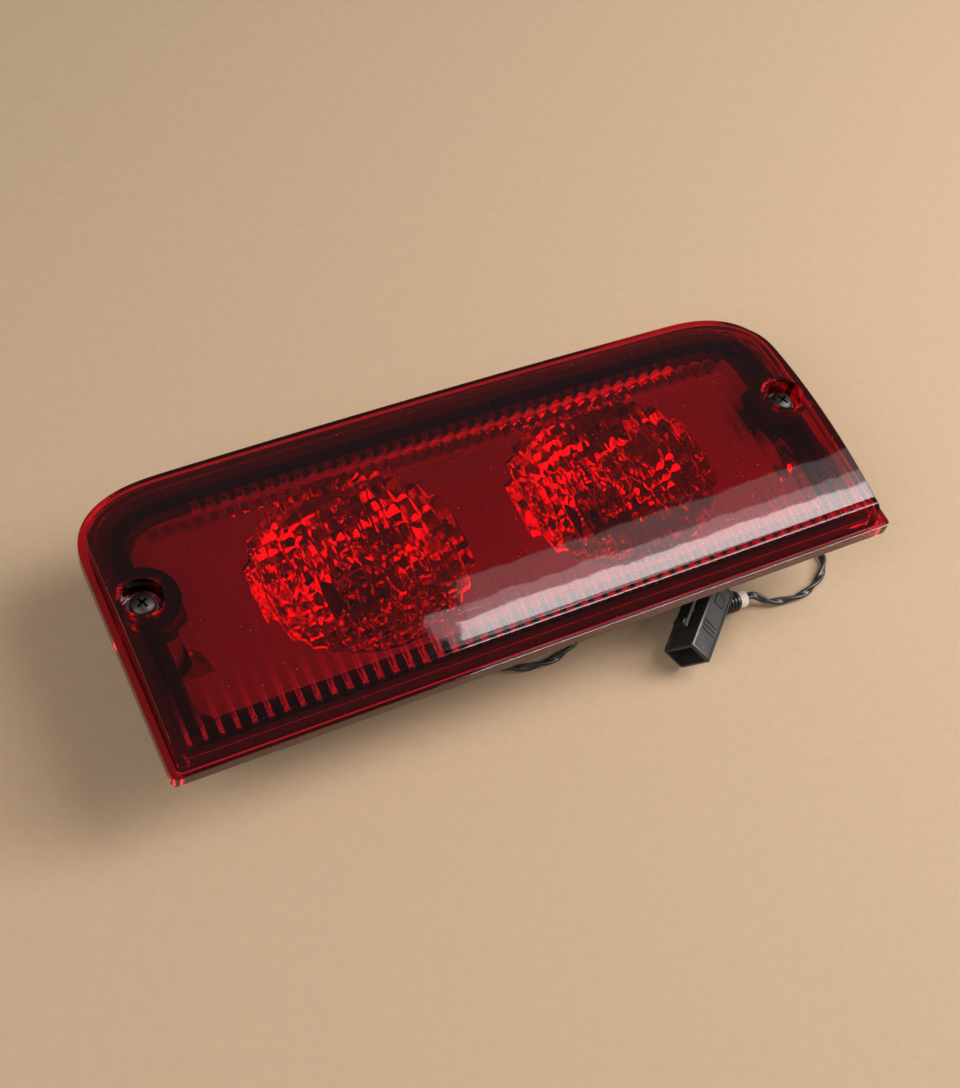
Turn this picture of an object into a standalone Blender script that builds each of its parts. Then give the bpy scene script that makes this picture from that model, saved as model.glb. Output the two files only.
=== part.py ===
"""Third brake light: a wide red lamp with two bulbs, its screws, harness and connector.

Frame: the lamp lies on its back. +Z is the way the lens faces, X runs along the lamp, -Y is the
straight lower edge of the lens, and z = 0 is the surface that the rear feet stand on.
All sizes are in millimetres and turned into metres by MM where the meshes are made.
"""
import math

import bmesh
import bpy
from mathutils import Matrix, Vector

MM = 0.001
TOUCH_GAP = 0.3

# Lens outline
LENS_WIDTH = 254.0
LENS_HEIGHT = 101.5
TOP_BOW = 1.5
TOP_CORNER_X = 34.0
TOP_CORNER_Y = 24.5
CORNER_POWER = 2.5
CORNER_NARROWING = 0.95
LEAST_REACH_X = 10.0
LEAST_REACH_Y = 8.0
BOTTOM_CORNER_R = 2.0

# Lens section
RIM_TOP = 45.0
RIM_DEPTH = 4.5
LENS_WALL = 2.4
LEDGE_WIDTH = 2.8
CREASE_FROM_EDGE = 6.5
CREASE_RISE = 4.5
TOP_FACE_FROM_EDGE = 3.5
TOP_FACE_RISE = 1.0
CROWN_BULGE = 5.0
CROWN_SEGMENTS = 12

# Rear housing
FLANGE_CLEAR = 0.7
FLANGE_T = 2.6
TUB_INSET_TOP = 13.0
TUB_INSET_BOTTOM = 22.0
TUB_WALL = 2.2
TUB_CORNER_R = 6.0
TUB_INNER_CORNER_R = 5.0
FLOOR_BOTTOM = 16.5
FOOT_Y = 26.5
FOOT_T = 2.4
FOOT_INNER_X = 52.0
FOOT_OUTER_X = 96.0
FOOT_SLOPE = 6.0

# Seal bead between lens and housing, and the gasket against the car's body
BEAD_INSET = 10.0
BEAD_WIDTH = 3.0
BEAD_CORNER_R = 5.0
GASKET_INSET = 3.6
GASKET_WIDTH = 6.0
GASKET_T = 3.0

# Mounting screws, with the lens well that each sits in
SCREW_INSET = 11.5
SCREW_Y = 5.3
WELL_R = 6.4
WELL_WALL = 2.0
WELL_FLOOR_T = 2.0
SLEEVE_R = 3.6
SLEEVE_BORE_R = 2.5
SHANK_R = 2.1
SCREW_HEAD_R = 3.9
SCREW_HEAD_T = 3.0
SCREW_LENGTH = 34.0
HEAD_DOME = 1.4
TIP_LENGTH = 3.0
TIP_R = 0.6
CROSS_REACH = 2.3
CROSS_HALF = 0.45
CROSS_DEPTH = 1.9
WASHER_R = 5.0
WASHER_T = 1.0
POST_R = 5.5
POST_BOTTOM = 30.0
RETAINER_R = 5.2
RETAINER_T = 1.1
FIT_CLEAR = 0.3

# Bulbs and their twist-lock sockets
LAMP_X = 46.0
LAMP_Y = 0.0
NECK_R = 10.0
LUG_R = 12.4
LUG_WIDTH = 5.0
LUG_T = 2.0
CAP_R = 14.0
CAP_T = 4.0
SEAL_MINOR_R = 0.95
GRIP_DEPTH = 4.0
GRIP_T = 3.0
NUB_R = 4.9
NUB_DEPTH = 2.0
BULB_R = 7.9
BULB_HEIGHT = 25.4
GLASS_T = 0.8
BULB_SHOULDER = 5.0
PINCH_TOP = 3.0
STEM_BORE_R = 0.6
FILAMENT_RISE = 13.0
WEDGE_WIDTH = 10.0
WEDGE_T = 4.6
WEDGE_LENGTH = 9.0
LEAD_R = 0.35
CONTACT_HALF = 2.0
CONTACT_CLEAR = 0.35
CONTACT_REACH = 1.6
CONTACT_T = 0.4
POCKET_FROM_WEDGE = 1.3
POCKET_HALF = 1.2

# Reflector
REFLECTOR_T = 1.6
REFLECTOR_DROP = 1.3
REFLECTOR_CLEAR = 0.4
REFLECTOR_CORNER_R = 4.0
BOWL_R = 32.5
BOWL_STRETCH = 1.12
BOWL_HOLE_R = 9.6
BOWL_ABOVE_NECK = 0.5
BURIED = 0.8
STEP_1_Y = 26.8
STEP_2_Y = 33.3
STEP_1_RISE = 2.0
STEP_2_RISE = 3.6
GUSSET_X = 107.0
GUSSET_Y = -14.7
GUSSET_RISE = 3.0
GUSSET_HALF = 6.0
GUSSET_TIP_X = 1.0
GUSSET_TIP_Y = 7.0

# Vent and harness clip
VENT_X = 0.0
VENT_Y = 19.0
VENT_STEM_R = 2.2
VENT_CAP_R = 5.0
VENT_CAP_T = 2.4
VENT_STEM_ABOVE = 1.6
CLIP_X = 76.0
CLIP_Y = 0.0
CLIP_Z = 8.0
CLIP_WALL = 1.4
CLIP_LENGTH = 5.0
CLIP_STEM_R = 1.5
CLIP_PAD_R = 3.2
CLIP_PAD_T = 1.4

# Cords and connector
CORD_D = 2.8
CORD_SPACING = 5.0
CORD_OFFSET = 2.2
CORD_BEND = 5.7
CORD_SIDES_RESOLUTION = 2
CONN_LENGTH = 30.0
CONN_WIDTH = 10.0
CONN_DEPTH = 13.0
CONN_WALL = 1.4
CONN_CAVITY = 14.0
CONN_EDGE = 0.5
CONN_YAW = 42.5
CONN_ROLL = 35.0
CONN_X = 56.3
CONN_Y = -58.4
OUTLET_R = 3.7
OUTLET_LENGTH = 10.5
OUTLET_BURIED_X = 7.0
OUTLET_FROM_SIDE = 2.5
OUTLET_DOWN = 6.0
CABLE_SEAL_R = 3.1
CABLE_SEAL_LENGTH = 3.0
TERMINAL_WIDTH = 1.5
TERMINAL_T = 0.7
TERMINAL_LENGTH = 11.0
TERMINAL_PITCH = 5.0
TERMINAL_SEAT = 3.6
LATCH_LENGTH = 15.0
LATCH_WIDTH = 5.0
LATCH_T = 1.2
LATCH_GAP = 1.4
HOOK_LENGTH = 2.0
HOOK_RISE = 1.0
PIVOT_HALF = 0.8
LOCK_SIZE = 4.0
LOCK_DEPTH = 2.2
LOCK_FROM_END = 9.0

# Heights worked out from the sizes above
RIM_BOTTOM = RIM_TOP - RIM_DEPTH
FLANGE_TOP = RIM_TOP - LENS_WALL - TOUCH_GAP
FLANGE_BOTTOM = FLANGE_TOP - FLANGE_T
FLOOR_TOP = FLOOR_BOTTOM + TUB_WALL
NECK_TOP = FLOOR_TOP + FIT_CLEAR + LUG_T + 0.5
SEAL_TOP = FLOOR_BOTTOM - TOUCH_GAP
CAP_TOP = SEAL_TOP - 2 * SEAL_MINOR_R - TOUCH_GAP
CAP_BOTTOM = CAP_TOP - CAP_T
NUB_BOTTOM = CAP_BOTTOM - NUB_DEPTH
GLASS_BOTTOM = NECK_TOP + 0.4
WEDGE_BOTTOM = GLASS_BOTTOM - WEDGE_LENGTH
REFLECTOR_TOP = FLANGE_TOP - REFLECTOR_DROP
BOWL_BOTTOM = NECK_TOP + BOWL_ABOVE_NECK
GASKET_TOP = FLANGE_BOTTOM - TOUCH_GAP
WELL_FLOOR_BOTTOM = FLANGE_TOP + TOUCH_GAP
WELL_FLOOR_TOP = WELL_FLOOR_BOTTOM + WELL_FLOOR_T
WASHER_BOTTOM = WELL_FLOOR_TOP + TOUCH_GAP
HEAD_BOTTOM = WASHER_BOTTOM + WASHER_T + TOUCH_GAP
SCREW_X = LENS_WIDTH / 2 - SCREW_INSET
TUB_INSET_INNER_TOP = TUB_INSET_TOP + TUB_WALL
TUB_INSET_INNER_BOTTOM = TUB_INSET_BOTTOM + TUB_WALL
BOSS_HEAD_R = WELL_R + WELL_WALL + TOUCH_GAP + BEAD_WIDTH + 0.4
FAR = 400.0
CUT_ABOVE = 15.0
CUT_AROUND = 30.0

PARTS = None
CUTTERS = None
MATERIALS = {}


# ---------------------------------------------------------------- scene and materials

def start_scene():
    """Empty the scene and make the two collections."""
    global PARTS, CUTTERS
    for old in list(bpy.data.objects):
        bpy.data.objects.remove(old, do_unlink=True)
    PARTS = bpy.data.collections.new("third_brake_light")
    CUTTERS = bpy.data.collections.new("cutters")
    bpy.context.scene.collection.children.link(PARTS)
    bpy.context.scene.collection.children.link(CUTTERS)


def material(name, colour, roughness, metallic=0.0):
    """A Principled material, made once for each name."""
    if name not in MATERIALS:
        made = bpy.data.materials.new(name)
        made.use_nodes = True
        shader = made.node_tree.nodes["Principled BSDF"]
        shader.inputs["Base Color"].default_value = (*colour, 1.0)
        shader.inputs["Roughness"].default_value = roughness
        shader.inputs["Metallic"].default_value = metallic
        made.diffuse_color = (*colour, 1.0)
        MATERIALS[name] = made
    return MATERIALS[name]


def red_lens():
    return material("red_lens", (0.35, 0.005, 0.012), 0.08)


def black_plastic():
    return material("black_plastic", (0.018, 0.018, 0.02), 0.45)


def reflector_chrome():
    return material("reflector_chrome", (0.82, 0.8, 0.78), 0.12, 1.0)


def black_rubber():
    return material("black_rubber", (0.02, 0.02, 0.02), 0.85)


def sealant():
    return material("sealant", (0.012, 0.014, 0.016), 0.6)


def black_steel():
    return material("black_steel", (0.03, 0.03, 0.032), 0.35, 1.0)


def zinc_steel():
    return material("zinc_steel", (0.62, 0.62, 0.6), 0.35, 1.0)


def clear_glass():
    return material("clear_glass", (0.9, 0.92, 0.92), 0.03)


def tungsten():
    return material("tungsten", (0.3, 0.29, 0.28), 0.4, 1.0)


def brass():
    return material("brass", (0.75, 0.55, 0.25), 0.3, 1.0)


def white_silicone():
    return material("white_silicone", (0.75, 0.7, 0.62), 0.6)


def cord_sleeve():
    return material("cord_sleeve", (0.015, 0.015, 0.016), 0.6)


# ---------------------------------------------------------------- modelling helpers

def finish(obj, collection, finish_material=None):
    """Put an object in its collection, with its material."""
    collection.objects.link(obj)
    if finish_material is not None:
        obj.data.materials.append(finish_material)
    if collection is CUTTERS:
        obj.hide_render = True
        obj.display_type = "WIRE"
    return obj


def mesh_object(name, bm, collection, finish_material=None):
    """Turn a bmesh, which it frees, into an object."""
    bmesh.ops.recalc_face_normals(bm, faces=bm.faces)
    mesh = bpy.data.meshes.new(name)
    bm.to_mesh(mesh)
    bm.free()
    return finish(bpy.data.objects.new(name, mesh), collection, finish_material)


def box(name, low, high, collection, finish_material=None, bevel=0.0):
    """A box between two corners, in millimetres."""
    low = Vector(low)
    high = Vector(high)
    bm = bmesh.new()
    place = Matrix.Translation((low + high) / 2 * MM) @ Matrix.Diagonal((*((high - low) * MM), 1.0))
    bmesh.ops.create_cube(bm, size=1.0, matrix=place)
    if bevel > 0.0:
        bmesh.ops.bevel(bm, geom=bm.edges[:], offset=bevel * MM, segments=2, profile=0.5,
                        affect="EDGES", material=-1)
    return mesh_object(name, bm, collection, finish_material)


def cylinder(name, centre, radius, low, high, collection, finish_material=None, sides=32):
    """An upright cylinder around an (x, y) centre."""
    bm = bmesh.new()
    place = Matrix.Translation(Vector((centre[0], centre[1], (low + high) / 2)) * MM)
    bmesh.ops.create_cone(bm, cap_ends=True, segments=sides, radius1=radius * MM,
                          radius2=radius * MM, depth=(high - low) * MM, matrix=place)
    return mesh_object(name, bm, collection, finish_material)


def rod(name, start, direction, radius, length, collection, finish_material=None, sides=20):
    """A cylinder from a start point along any direction."""
    bm = bmesh.new()
    axis = Vector(direction).normalized()
    turn = axis.to_track_quat("Z", "Y").to_matrix().to_4x4()
    middle = Vector(start) + axis * length / 2
    bmesh.ops.create_cone(bm, cap_ends=True, segments=sides, radius1=radius * MM, radius2=radius * MM,
                          depth=length * MM, matrix=Matrix.Translation(middle * MM) @ turn)
    return mesh_object(name, bm, collection, finish_material)


def plate(name, points, low, high, collection, finish_material=None):
    """A flat outline with a thickness: a filled 2D curve, made a closed mesh."""
    curve = bpy.data.curves.new(name, "CURVE")
    curve.dimensions = "2D"
    curve.fill_mode = "BOTH"
    curve.extrude = (high - low) * MM / 2
    spline = curve.splines.new("POLY")
    spline.points.add(len(points) - 1)
    for control, (x, y) in zip(spline.points, points):
        control.co = (x * MM, y * MM, 0.0, 1.0)
    spline.use_cyclic_u = True
    guide = bpy.data.objects.new(name + "_outline", curve)
    bpy.context.scene.collection.objects.link(guide)
    bpy.context.view_layer.update()
    mesh = bpy.data.meshes.new_from_object(guide.evaluated_get(bpy.context.evaluated_depsgraph_get()))
    bpy.data.objects.remove(guide, do_unlink=True)
    bm = bmesh.new()
    bm.from_mesh(mesh)
    bpy.data.meshes.remove(mesh)
    bmesh.ops.remove_doubles(bm, verts=bm.verts[:], dist=1e-6)
    bmesh.ops.translate(bm, verts=bm.verts[:], vec=(0.0, 0.0, (low + high) * MM / 2))
    return mesh_object(name, bm, collection, finish_material)


def section_prism(name, points, half_length, collection, finish_material=None):
    """A (y, z) outline extruded along X, symmetric about X = 0."""
    solid = plate(name, points, -half_length, half_length, collection, finish_material)
    solid.data.transform(Matrix(((0, 0, 1, 0), (1, 0, 0, 0), (0, 1, 0, 0), (0, 0, 0, 1))))
    return solid


def loft(name, loops, collection, finish_material=None):
    """A closed solid through stacked outlines, each a list of (x, y) and a height."""
    bm = bmesh.new()
    rings = []
    for points, height in loops:
        verts = [bm.verts.new((x * MM, y * MM, height * MM)) for x, y in points]
        rings.append([bm.edges.new((a, b)) for a, b in zip(verts, verts[1:] + verts[:1])])
    for lower, upper in zip(rings, rings[1:]):
        bmesh.ops.bridge_loops(bm, edges=lower + upper)
    bmesh.ops.contextual_create(bm, geom=rings[0])
    bmesh.ops.contextual_create(bm, geom=rings[-1])
    return mesh_object(name, bm, collection, finish_material)


def turned(name, profile, centre, collection, finish_material=None, steps=32, closed=False):
    """A profile of (radius, z) from top to bottom of its outer side, turned around an upright axis."""
    bm = bmesh.new()
    verts = [bm.verts.new((radius * MM, 0.0, height * MM)) for radius, height in profile]
    for upper, lower in zip(verts, verts[1:]):
        bm.edges.new((upper, lower))
    if closed:
        bm.edges.new((verts[-1], verts[0]))
    mesh = bpy.data.meshes.new(name)
    bm.to_mesh(mesh)
    bm.free()
    solid = finish(bpy.data.objects.new(name, mesh), collection, finish_material)
    solid.location = (centre[0] * MM, centre[1] * MM, 0.0)
    screw = solid.modifiers.new("turn", "SCREW")
    screw.axis = "Z"
    screw.angle = math.tau
    screw.steps = steps
    screw.render_steps = steps
    screw.use_merge_vertices = True
    screw.merge_threshold = 1e-5
    return solid


def boolean(target, tool, operation):
    """Join, cut or intersect, as a live modifier."""
    modifier = target.modifiers.new(operation.lower() + "_" + tool.name, "BOOLEAN")
    modifier.operation = operation
    modifier.solver = "EXACT"
    modifier.object = tool
    return target


def tube(name, points, radius, collection, finish_material=None, resolution=CORD_SIDES_RESOLUTION):
    """A round tube along points in millimetres."""
    curve = bpy.data.curves.new(name, "CURVE")
    curve.dimensions = "3D"
    curve.bevel_depth = radius * MM
    curve.bevel_resolution = resolution
    curve.use_fill_caps = True
    spline = curve.splines.new("POLY")
    spline.points.add(len(points) - 1)
    for control, point in zip(spline.points, points):
        control.co = (*(Vector(point) * MM), 1.0)
    return finish(bpy.data.objects.new(name, curve), collection, finish_material)


def smooth_route(points, spacing):
    """Even points along a smooth curve through the route's own points."""
    anchors = [Vector(point) for point in points]
    padded = [2 * anchors[0] - anchors[1]] + anchors + [2 * anchors[-1] - anchors[-2]]
    dense = []
    for a, b, c, d in zip(padded, padded[1:], padded[2:], padded[3:]):
        for step in range(24):
            t = step / 24
            dense.append(0.5 * (2 * b + (c - a) * t + (2 * a - 5 * b + 4 * c - d) * t ** 2
                                + (3 * b - a - 3 * c + d) * t ** 3))
    dense.append(anchors[-1])
    lengths = [(after - before).length for before, after in zip(dense, dense[1:])]
    count = max(2, round(sum(lengths) / spacing))
    step = sum(lengths) / count
    route = [dense[0]]
    walked = 0.0
    for before, after, length in zip(dense, dense[1:], lengths):
        while length > 0 and walked + length >= step * len(route) and len(route) < count:
            share = (step * len(route) - walked) / length
            route.append(before.lerp(after, share))
        walked += length
    route.append(dense[-1])
    return route


# ---------------------------------------------------------------- outlines

def lamp_outline(inset, corner_r=BOTTOM_CORNER_R):
    """The lens outline moved inward: straight foot, round top corners and a bowed top."""
    half = LENS_WIDTH / 2 - inset
    bottom = -LENS_HEIGHT / 2 + inset
    reach_x = TOP_CORNER_X - inset
    reach_y = TOP_CORNER_Y - inset * CORNER_NARROWING
    reach_x = max(reach_x, LEAST_REACH_X)
    reach_y = max(reach_y, LEAST_REACH_Y)
    right = []
    for step in range(5):
        angle = math.radians(-90 + 90 * step / 4)
        right.append((half - corner_r + corner_r * math.cos(angle),
                      bottom + corner_r + corner_r * math.sin(angle)))
    top = LENS_HEIGHT / 2 - TOP_BOW - inset
    for step in range(13):
        angle = math.radians(90 * step / 12)
        right.append((half - reach_x + reach_x * math.cos(angle) ** (2 / CORNER_POWER),
                      top - reach_y + reach_y * math.sin(angle) ** (2 / CORNER_POWER)))
    for step in range(1, 5):
        right.append(((half - reach_x) * (1 - step / 4), top))
    bowed = [(x, y + top_bow(x, y)) for x, y in right]
    left = [(-x, y) for x, y in reversed(bowed) if abs(x) > 1e-9]
    return bowed + left


def top_bow(x, y):
    """How far the bowed top edge lifts a point, nothing at the foot."""
    share = max(0.0, (y + LENS_HEIGHT / 2) / LENS_HEIGHT)
    return TOP_BOW * (1 - (2 * x / LENS_WIDTH) ** 2) * share


def crown_section(drop):
    """The lens face's section as (y, z) points, lowered by drop, with a floor far below it."""
    foot_y = -LENS_HEIGHT / 2 + LEDGE_WIDTH
    crease_y = -LENS_HEIGHT / 2 + CREASE_FROM_EDGE
    top_y = LENS_HEIGHT / 2 - TOP_BOW - TOP_FACE_FROM_EDGE
    crease_z = RIM_TOP + CREASE_RISE
    top_z = RIM_TOP + TOP_FACE_RISE
    points = [(foot_y - CUT_AROUND, RIM_BOTTOM - CUT_AROUND - drop),
              (top_y + CUT_AROUND, RIM_BOTTOM - CUT_AROUND - drop)]
    slope = (top_z - crown_height(0.97)) / (0.03 * (top_y - crease_y))
    points.append((top_y + CUT_AROUND, top_z + slope * CUT_AROUND - drop))
    for step in range(CROWN_SEGMENTS, -1, -1):
        share = step / CROWN_SEGMENTS
        points.append((crease_y + share * (top_y - crease_y), crown_height(share) - drop))
    strip_slope = (crease_z - RIM_TOP) / (crease_y - foot_y)
    points.append((foot_y - CUT_AROUND, crease_z - strip_slope * (crease_y - foot_y + CUT_AROUND) - drop))
    return points


def crown_height(share):
    """Height of the lens face at a share of the way from the crease to the top."""
    crease_z = RIM_TOP + CREASE_RISE
    top_z = RIM_TOP + TOP_FACE_RISE
    return crease_z + (top_z - crease_z) * share + 4 * CROWN_BULGE * share * (1 - share)


# ---------------------------------------------------------------- lens, bead, gasket

def build_lens():
    """The red lens: a rim with a crowned face, hollow behind, and a well for each screw."""
    lens = plate("lens", lamp_outline(0.0), RIM_BOTTOM, RIM_TOP, PARTS, red_lens())
    crown = section_prism("lens_crown", crown_section(0.0), FAR, CUTTERS)
    face = plate("lens_face", lamp_outline(LEDGE_WIDTH), RIM_TOP - 1.0, RIM_TOP + CUT_ABOVE, CUTTERS)
    boolean(face, crown, "INTERSECT")
    boolean(lens, face, "UNION")
    rim_hollow = plate("lens_rim_hollow", lamp_outline(LENS_WALL), RIM_BOTTOM - 1.0,
                       RIM_TOP - LENS_WALL, CUTTERS)
    boolean(lens, rim_hollow, "DIFFERENCE")
    lowered = section_prism("lens_crown_inside", crown_section(LENS_WALL), FAR, CUTTERS)
    hollow = plate("lens_face_hollow", lamp_outline(LEDGE_WIDTH + LENS_WALL),
                   RIM_TOP - LENS_WALL - 1.0, RIM_TOP + CUT_ABOVE, CUTTERS)
    boolean(hollow, lowered, "INTERSECT")
    for side, word in ((-1, "left"), (1, "right")):
        column = cylinder("well_column_" + word, (side * SCREW_X, SCREW_Y), WELL_R + WELL_WALL,
                          WELL_FLOOR_BOTTOM, RIM_TOP + CUT_ABOVE + 1.0, CUTTERS, sides=40)
        boolean(hollow, column, "DIFFERENCE")
    boolean(lens, hollow, "DIFFERENCE")
    for side, word in ((-1, "left"), (1, "right")):
        pocket = cylinder("well_pocket_" + word, (side * SCREW_X, SCREW_Y), WELL_R, WELL_FLOOR_TOP,
                          RIM_TOP + CUT_ABOVE + 1.0, CUTTERS, sides=40)
        boolean(lens, pocket, "DIFFERENCE")
        hole = cylinder("well_hole_" + word, (side * SCREW_X, SCREW_Y), SLEEVE_R + FIT_CLEAR,
                        WELL_FLOOR_BOTTOM - 2.0, WELL_FLOOR_TOP + 1.0, CUTTERS, sides=24)
        boolean(lens, hole, "DIFFERENCE")


def build_seal_bead():
    """The bead that seals the lens to the housing, stepping inward around each screw well."""
    bead = plate("seal_bead", lamp_outline(BEAD_INSET, BEAD_CORNER_R), FLANGE_TOP + TOUCH_GAP,
                 RIM_TOP + CUT_ABOVE, PARTS, sealant())
    inner = lamp_outline(BEAD_INSET + BEAD_WIDTH, BEAD_CORNER_R - 2.0)
    hollow = plate("bead_hollow", inner, FLANGE_TOP - 1.0,
                   RIM_TOP + CUT_ABOVE + 1.0, CUTTERS)
    well_r = WELL_R + WELL_WALL + TOUCH_GAP
    for side, word in ((-1, "left"), (1, "right")):
        around = cylinder("bead_around_well_" + word, (side * SCREW_X, SCREW_Y), well_r + BEAD_WIDTH,
                          FLANGE_TOP - 2.0, RIM_TOP + CUT_ABOVE + 2.0, CUTTERS, sides=40)
        boolean(hollow, around, "DIFFERENCE")
    boolean(bead, hollow, "DIFFERENCE")
    for side, word in ((-1, "left"), (1, "right")):
        well = cylinder("bead_well_" + word, (side * SCREW_X, SCREW_Y), well_r, FLANGE_TOP - 3.0,
                        RIM_TOP + CUT_ABOVE + 3.0, CUTTERS, sides=40)
        boolean(bead, well, "DIFFERENCE")
    lowered = section_prism("bead_top", crown_section(LENS_WALL + TOUCH_GAP), FAR, CUTTERS)
    boolean(bead, lowered, "INTERSECT")


def build_body_gasket():
    """The foam gasket on the back of the flange, with a hole for each screw post."""
    gasket = plate("body_gasket", lamp_outline(GASKET_INSET), GASKET_TOP - GASKET_T, GASKET_TOP,
                   PARTS, black_rubber())
    hollow = plate("gasket_hollow", lamp_outline(GASKET_INSET + GASKET_WIDTH), GASKET_TOP - GASKET_T - 1.0,
                   GASKET_TOP + 1.0, CUTTERS)
    boolean(gasket, hollow, "DIFFERENCE")
    for side, word in ((-1, "left"), (1, "right")):
        hole = cylinder("gasket_hole_" + word, (side * SCREW_X, SCREW_Y), POST_R + FIT_CLEAR,
                        GASKET_TOP - GASKET_T - 2.0, GASKET_TOP + 2.0, CUTTERS)
        boolean(gasket, hole, "DIFFERENCE")


# ---------------------------------------------------------------- housing and reflector

def build_housing():
    """The black rear housing: flange, drafted tub, screw posts, socket holes and feet."""
    housing = plate("rear_housing", lamp_outline(LENS_WALL + FLANGE_CLEAR), FLANGE_BOTTOM, FLANGE_TOP,
                    PARTS, black_plastic())
    tub = loft("tub_outside", [(lamp_outline(TUB_INSET_BOTTOM, TUB_CORNER_R), FLOOR_BOTTOM),
                               (lamp_outline(TUB_INSET_TOP, TUB_CORNER_R), FLANGE_BOTTOM + 1.0)], CUTTERS)
    boolean(housing, tub, "UNION")
    hollow = loft("tub_inside", [(lamp_outline(TUB_INSET_INNER_BOTTOM, TUB_INNER_CORNER_R), FLOOR_TOP),
                                 (lamp_outline(TUB_INSET_INNER_TOP, TUB_INNER_CORNER_R), FLANGE_TOP),
                                 (lamp_outline(TUB_INSET_INNER_TOP, TUB_INNER_CORNER_R), FLANGE_TOP + 3.0)],
                  CUTTERS)
    for side, word in ((-1, "left"), (1, "right")):
        shelf = cylinder("post_shelf_" + word, (side * SCREW_X, SCREW_Y), BOSS_HEAD_R,
                         FLANGE_BOTTOM - 1.0, FLANGE_TOP + 4.0, CUTTERS, sides=40)
        boolean(hollow, shelf, "DIFFERENCE")
        core = cylinder("post_core_" + word, (side * SCREW_X, SCREW_Y), POST_R,
                        POST_BOTTOM, FLANGE_TOP + 5.0, CUTTERS)
        boolean(hollow, core, "DIFFERENCE")
    boolean(housing, hollow, "DIFFERENCE")
    for side, word in ((-1, "left"), (1, "right")):
        post = cylinder("screw_post_" + word, (side * SCREW_X, SCREW_Y), POST_R,
                        POST_BOTTOM, FLANGE_TOP - 0.5, CUTTERS)
        boolean(housing, post, "UNION")
        bore = cylinder("sleeve_bore_" + word, (side * SCREW_X, SCREW_Y), SLEEVE_R + FIT_CLEAR,
                        POST_BOTTOM - 1.0, FLANGE_TOP + 1.0, CUTTERS, sides=24)
        boolean(housing, bore, "DIFFERENCE")
    cut_socket_holes(housing)
    add_feet(housing)
    vent_hole = cylinder("vent_hole", (VENT_X, VENT_Y), VENT_STEM_R + FIT_CLEAR, FLOOR_BOTTOM - 1.0,
                         FLOOR_TOP + 1.0, CUTTERS, sides=20)
    boolean(housing, vent_hole, "DIFFERENCE")
    clip_hole = cylinder("clip_hole", (CLIP_X, CLIP_Y), CLIP_STEM_R + FIT_CLEAR, FLOOR_BOTTOM - 1.0,
                         FLOOR_TOP + 1.0, CUTTERS, sides=16)
    boolean(housing, clip_hole, "DIFFERENCE")


def cut_socket_holes(housing):
    """A round hole with two lug slots for each twist-lock socket, the slots a quarter turn off."""
    for side, word in ((-1, "left"), (1, "right")):
        hole = cylinder("socket_hole_" + word, (side * LAMP_X, LAMP_Y), NECK_R + FIT_CLEAR,
                        FLOOR_BOTTOM - 1.0, FLOOR_TOP + 1.0, CUTTERS, sides=40)
        half_x = LUG_WIDTH / 2 + FIT_CLEAR
        half_y = LUG_R + FIT_CLEAR
        slot = box("lug_slot_" + word,
                   (side * LAMP_X - half_x, LAMP_Y - half_y, FLOOR_BOTTOM - 2.0),
                   (side * LAMP_X + half_x, LAMP_Y + half_y, FLOOR_TOP + 2.0), CUTTERS)
        boolean(hole, slot, "UNION")
        boolean(housing, hole, "DIFFERENCE")


def add_feet(housing):
    """The ribs under the tub that guard the sockets and stand on the surface, with sloping ends."""
    spans = [(-FOOT_OUTER_X, FOOT_OUTER_X, FOOT_Y),
             (-FOOT_OUTER_X, -FOOT_INNER_X, -FOOT_Y),
             (FOOT_INNER_X, FOOT_OUTER_X, -FOOT_Y)]
    for count, (low_x, high_x, y) in enumerate(spans):
        profile = [(low_x + FOOT_SLOPE, 0.0), (high_x - FOOT_SLOPE, 0.0),
                   (high_x, FLOOR_BOTTOM + 1.0), (low_x, FLOOR_BOTTOM + 1.0)]
        foot = plate("foot_%d" % count, profile, -FOOT_T / 2, FOOT_T / 2, CUTTERS)
        foot.data.transform(Matrix.Translation((0.0, y * MM, 0.0)) @ Matrix.Rotation(math.pi / 2, 4, "X"))
        boolean(housing, foot, "UNION")


def bowl_profile(extra):
    """A parabola from rim to floor as (radius, z), thickened outwards by extra."""
    points = []
    for step in range(9):
        share = 1 - step / 8
        radius = BOWL_HOLE_R + (BOWL_R - BOWL_HOLE_R) * share
        rise = (radius ** 2 - BOWL_HOLE_R ** 2) / (BOWL_R ** 2 - BOWL_HOLE_R ** 2)
        points.append((radius + extra, BOWL_BOTTOM + (REFLECTOR_TOP - BOWL_BOTTOM) * rise))
    return points


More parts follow.
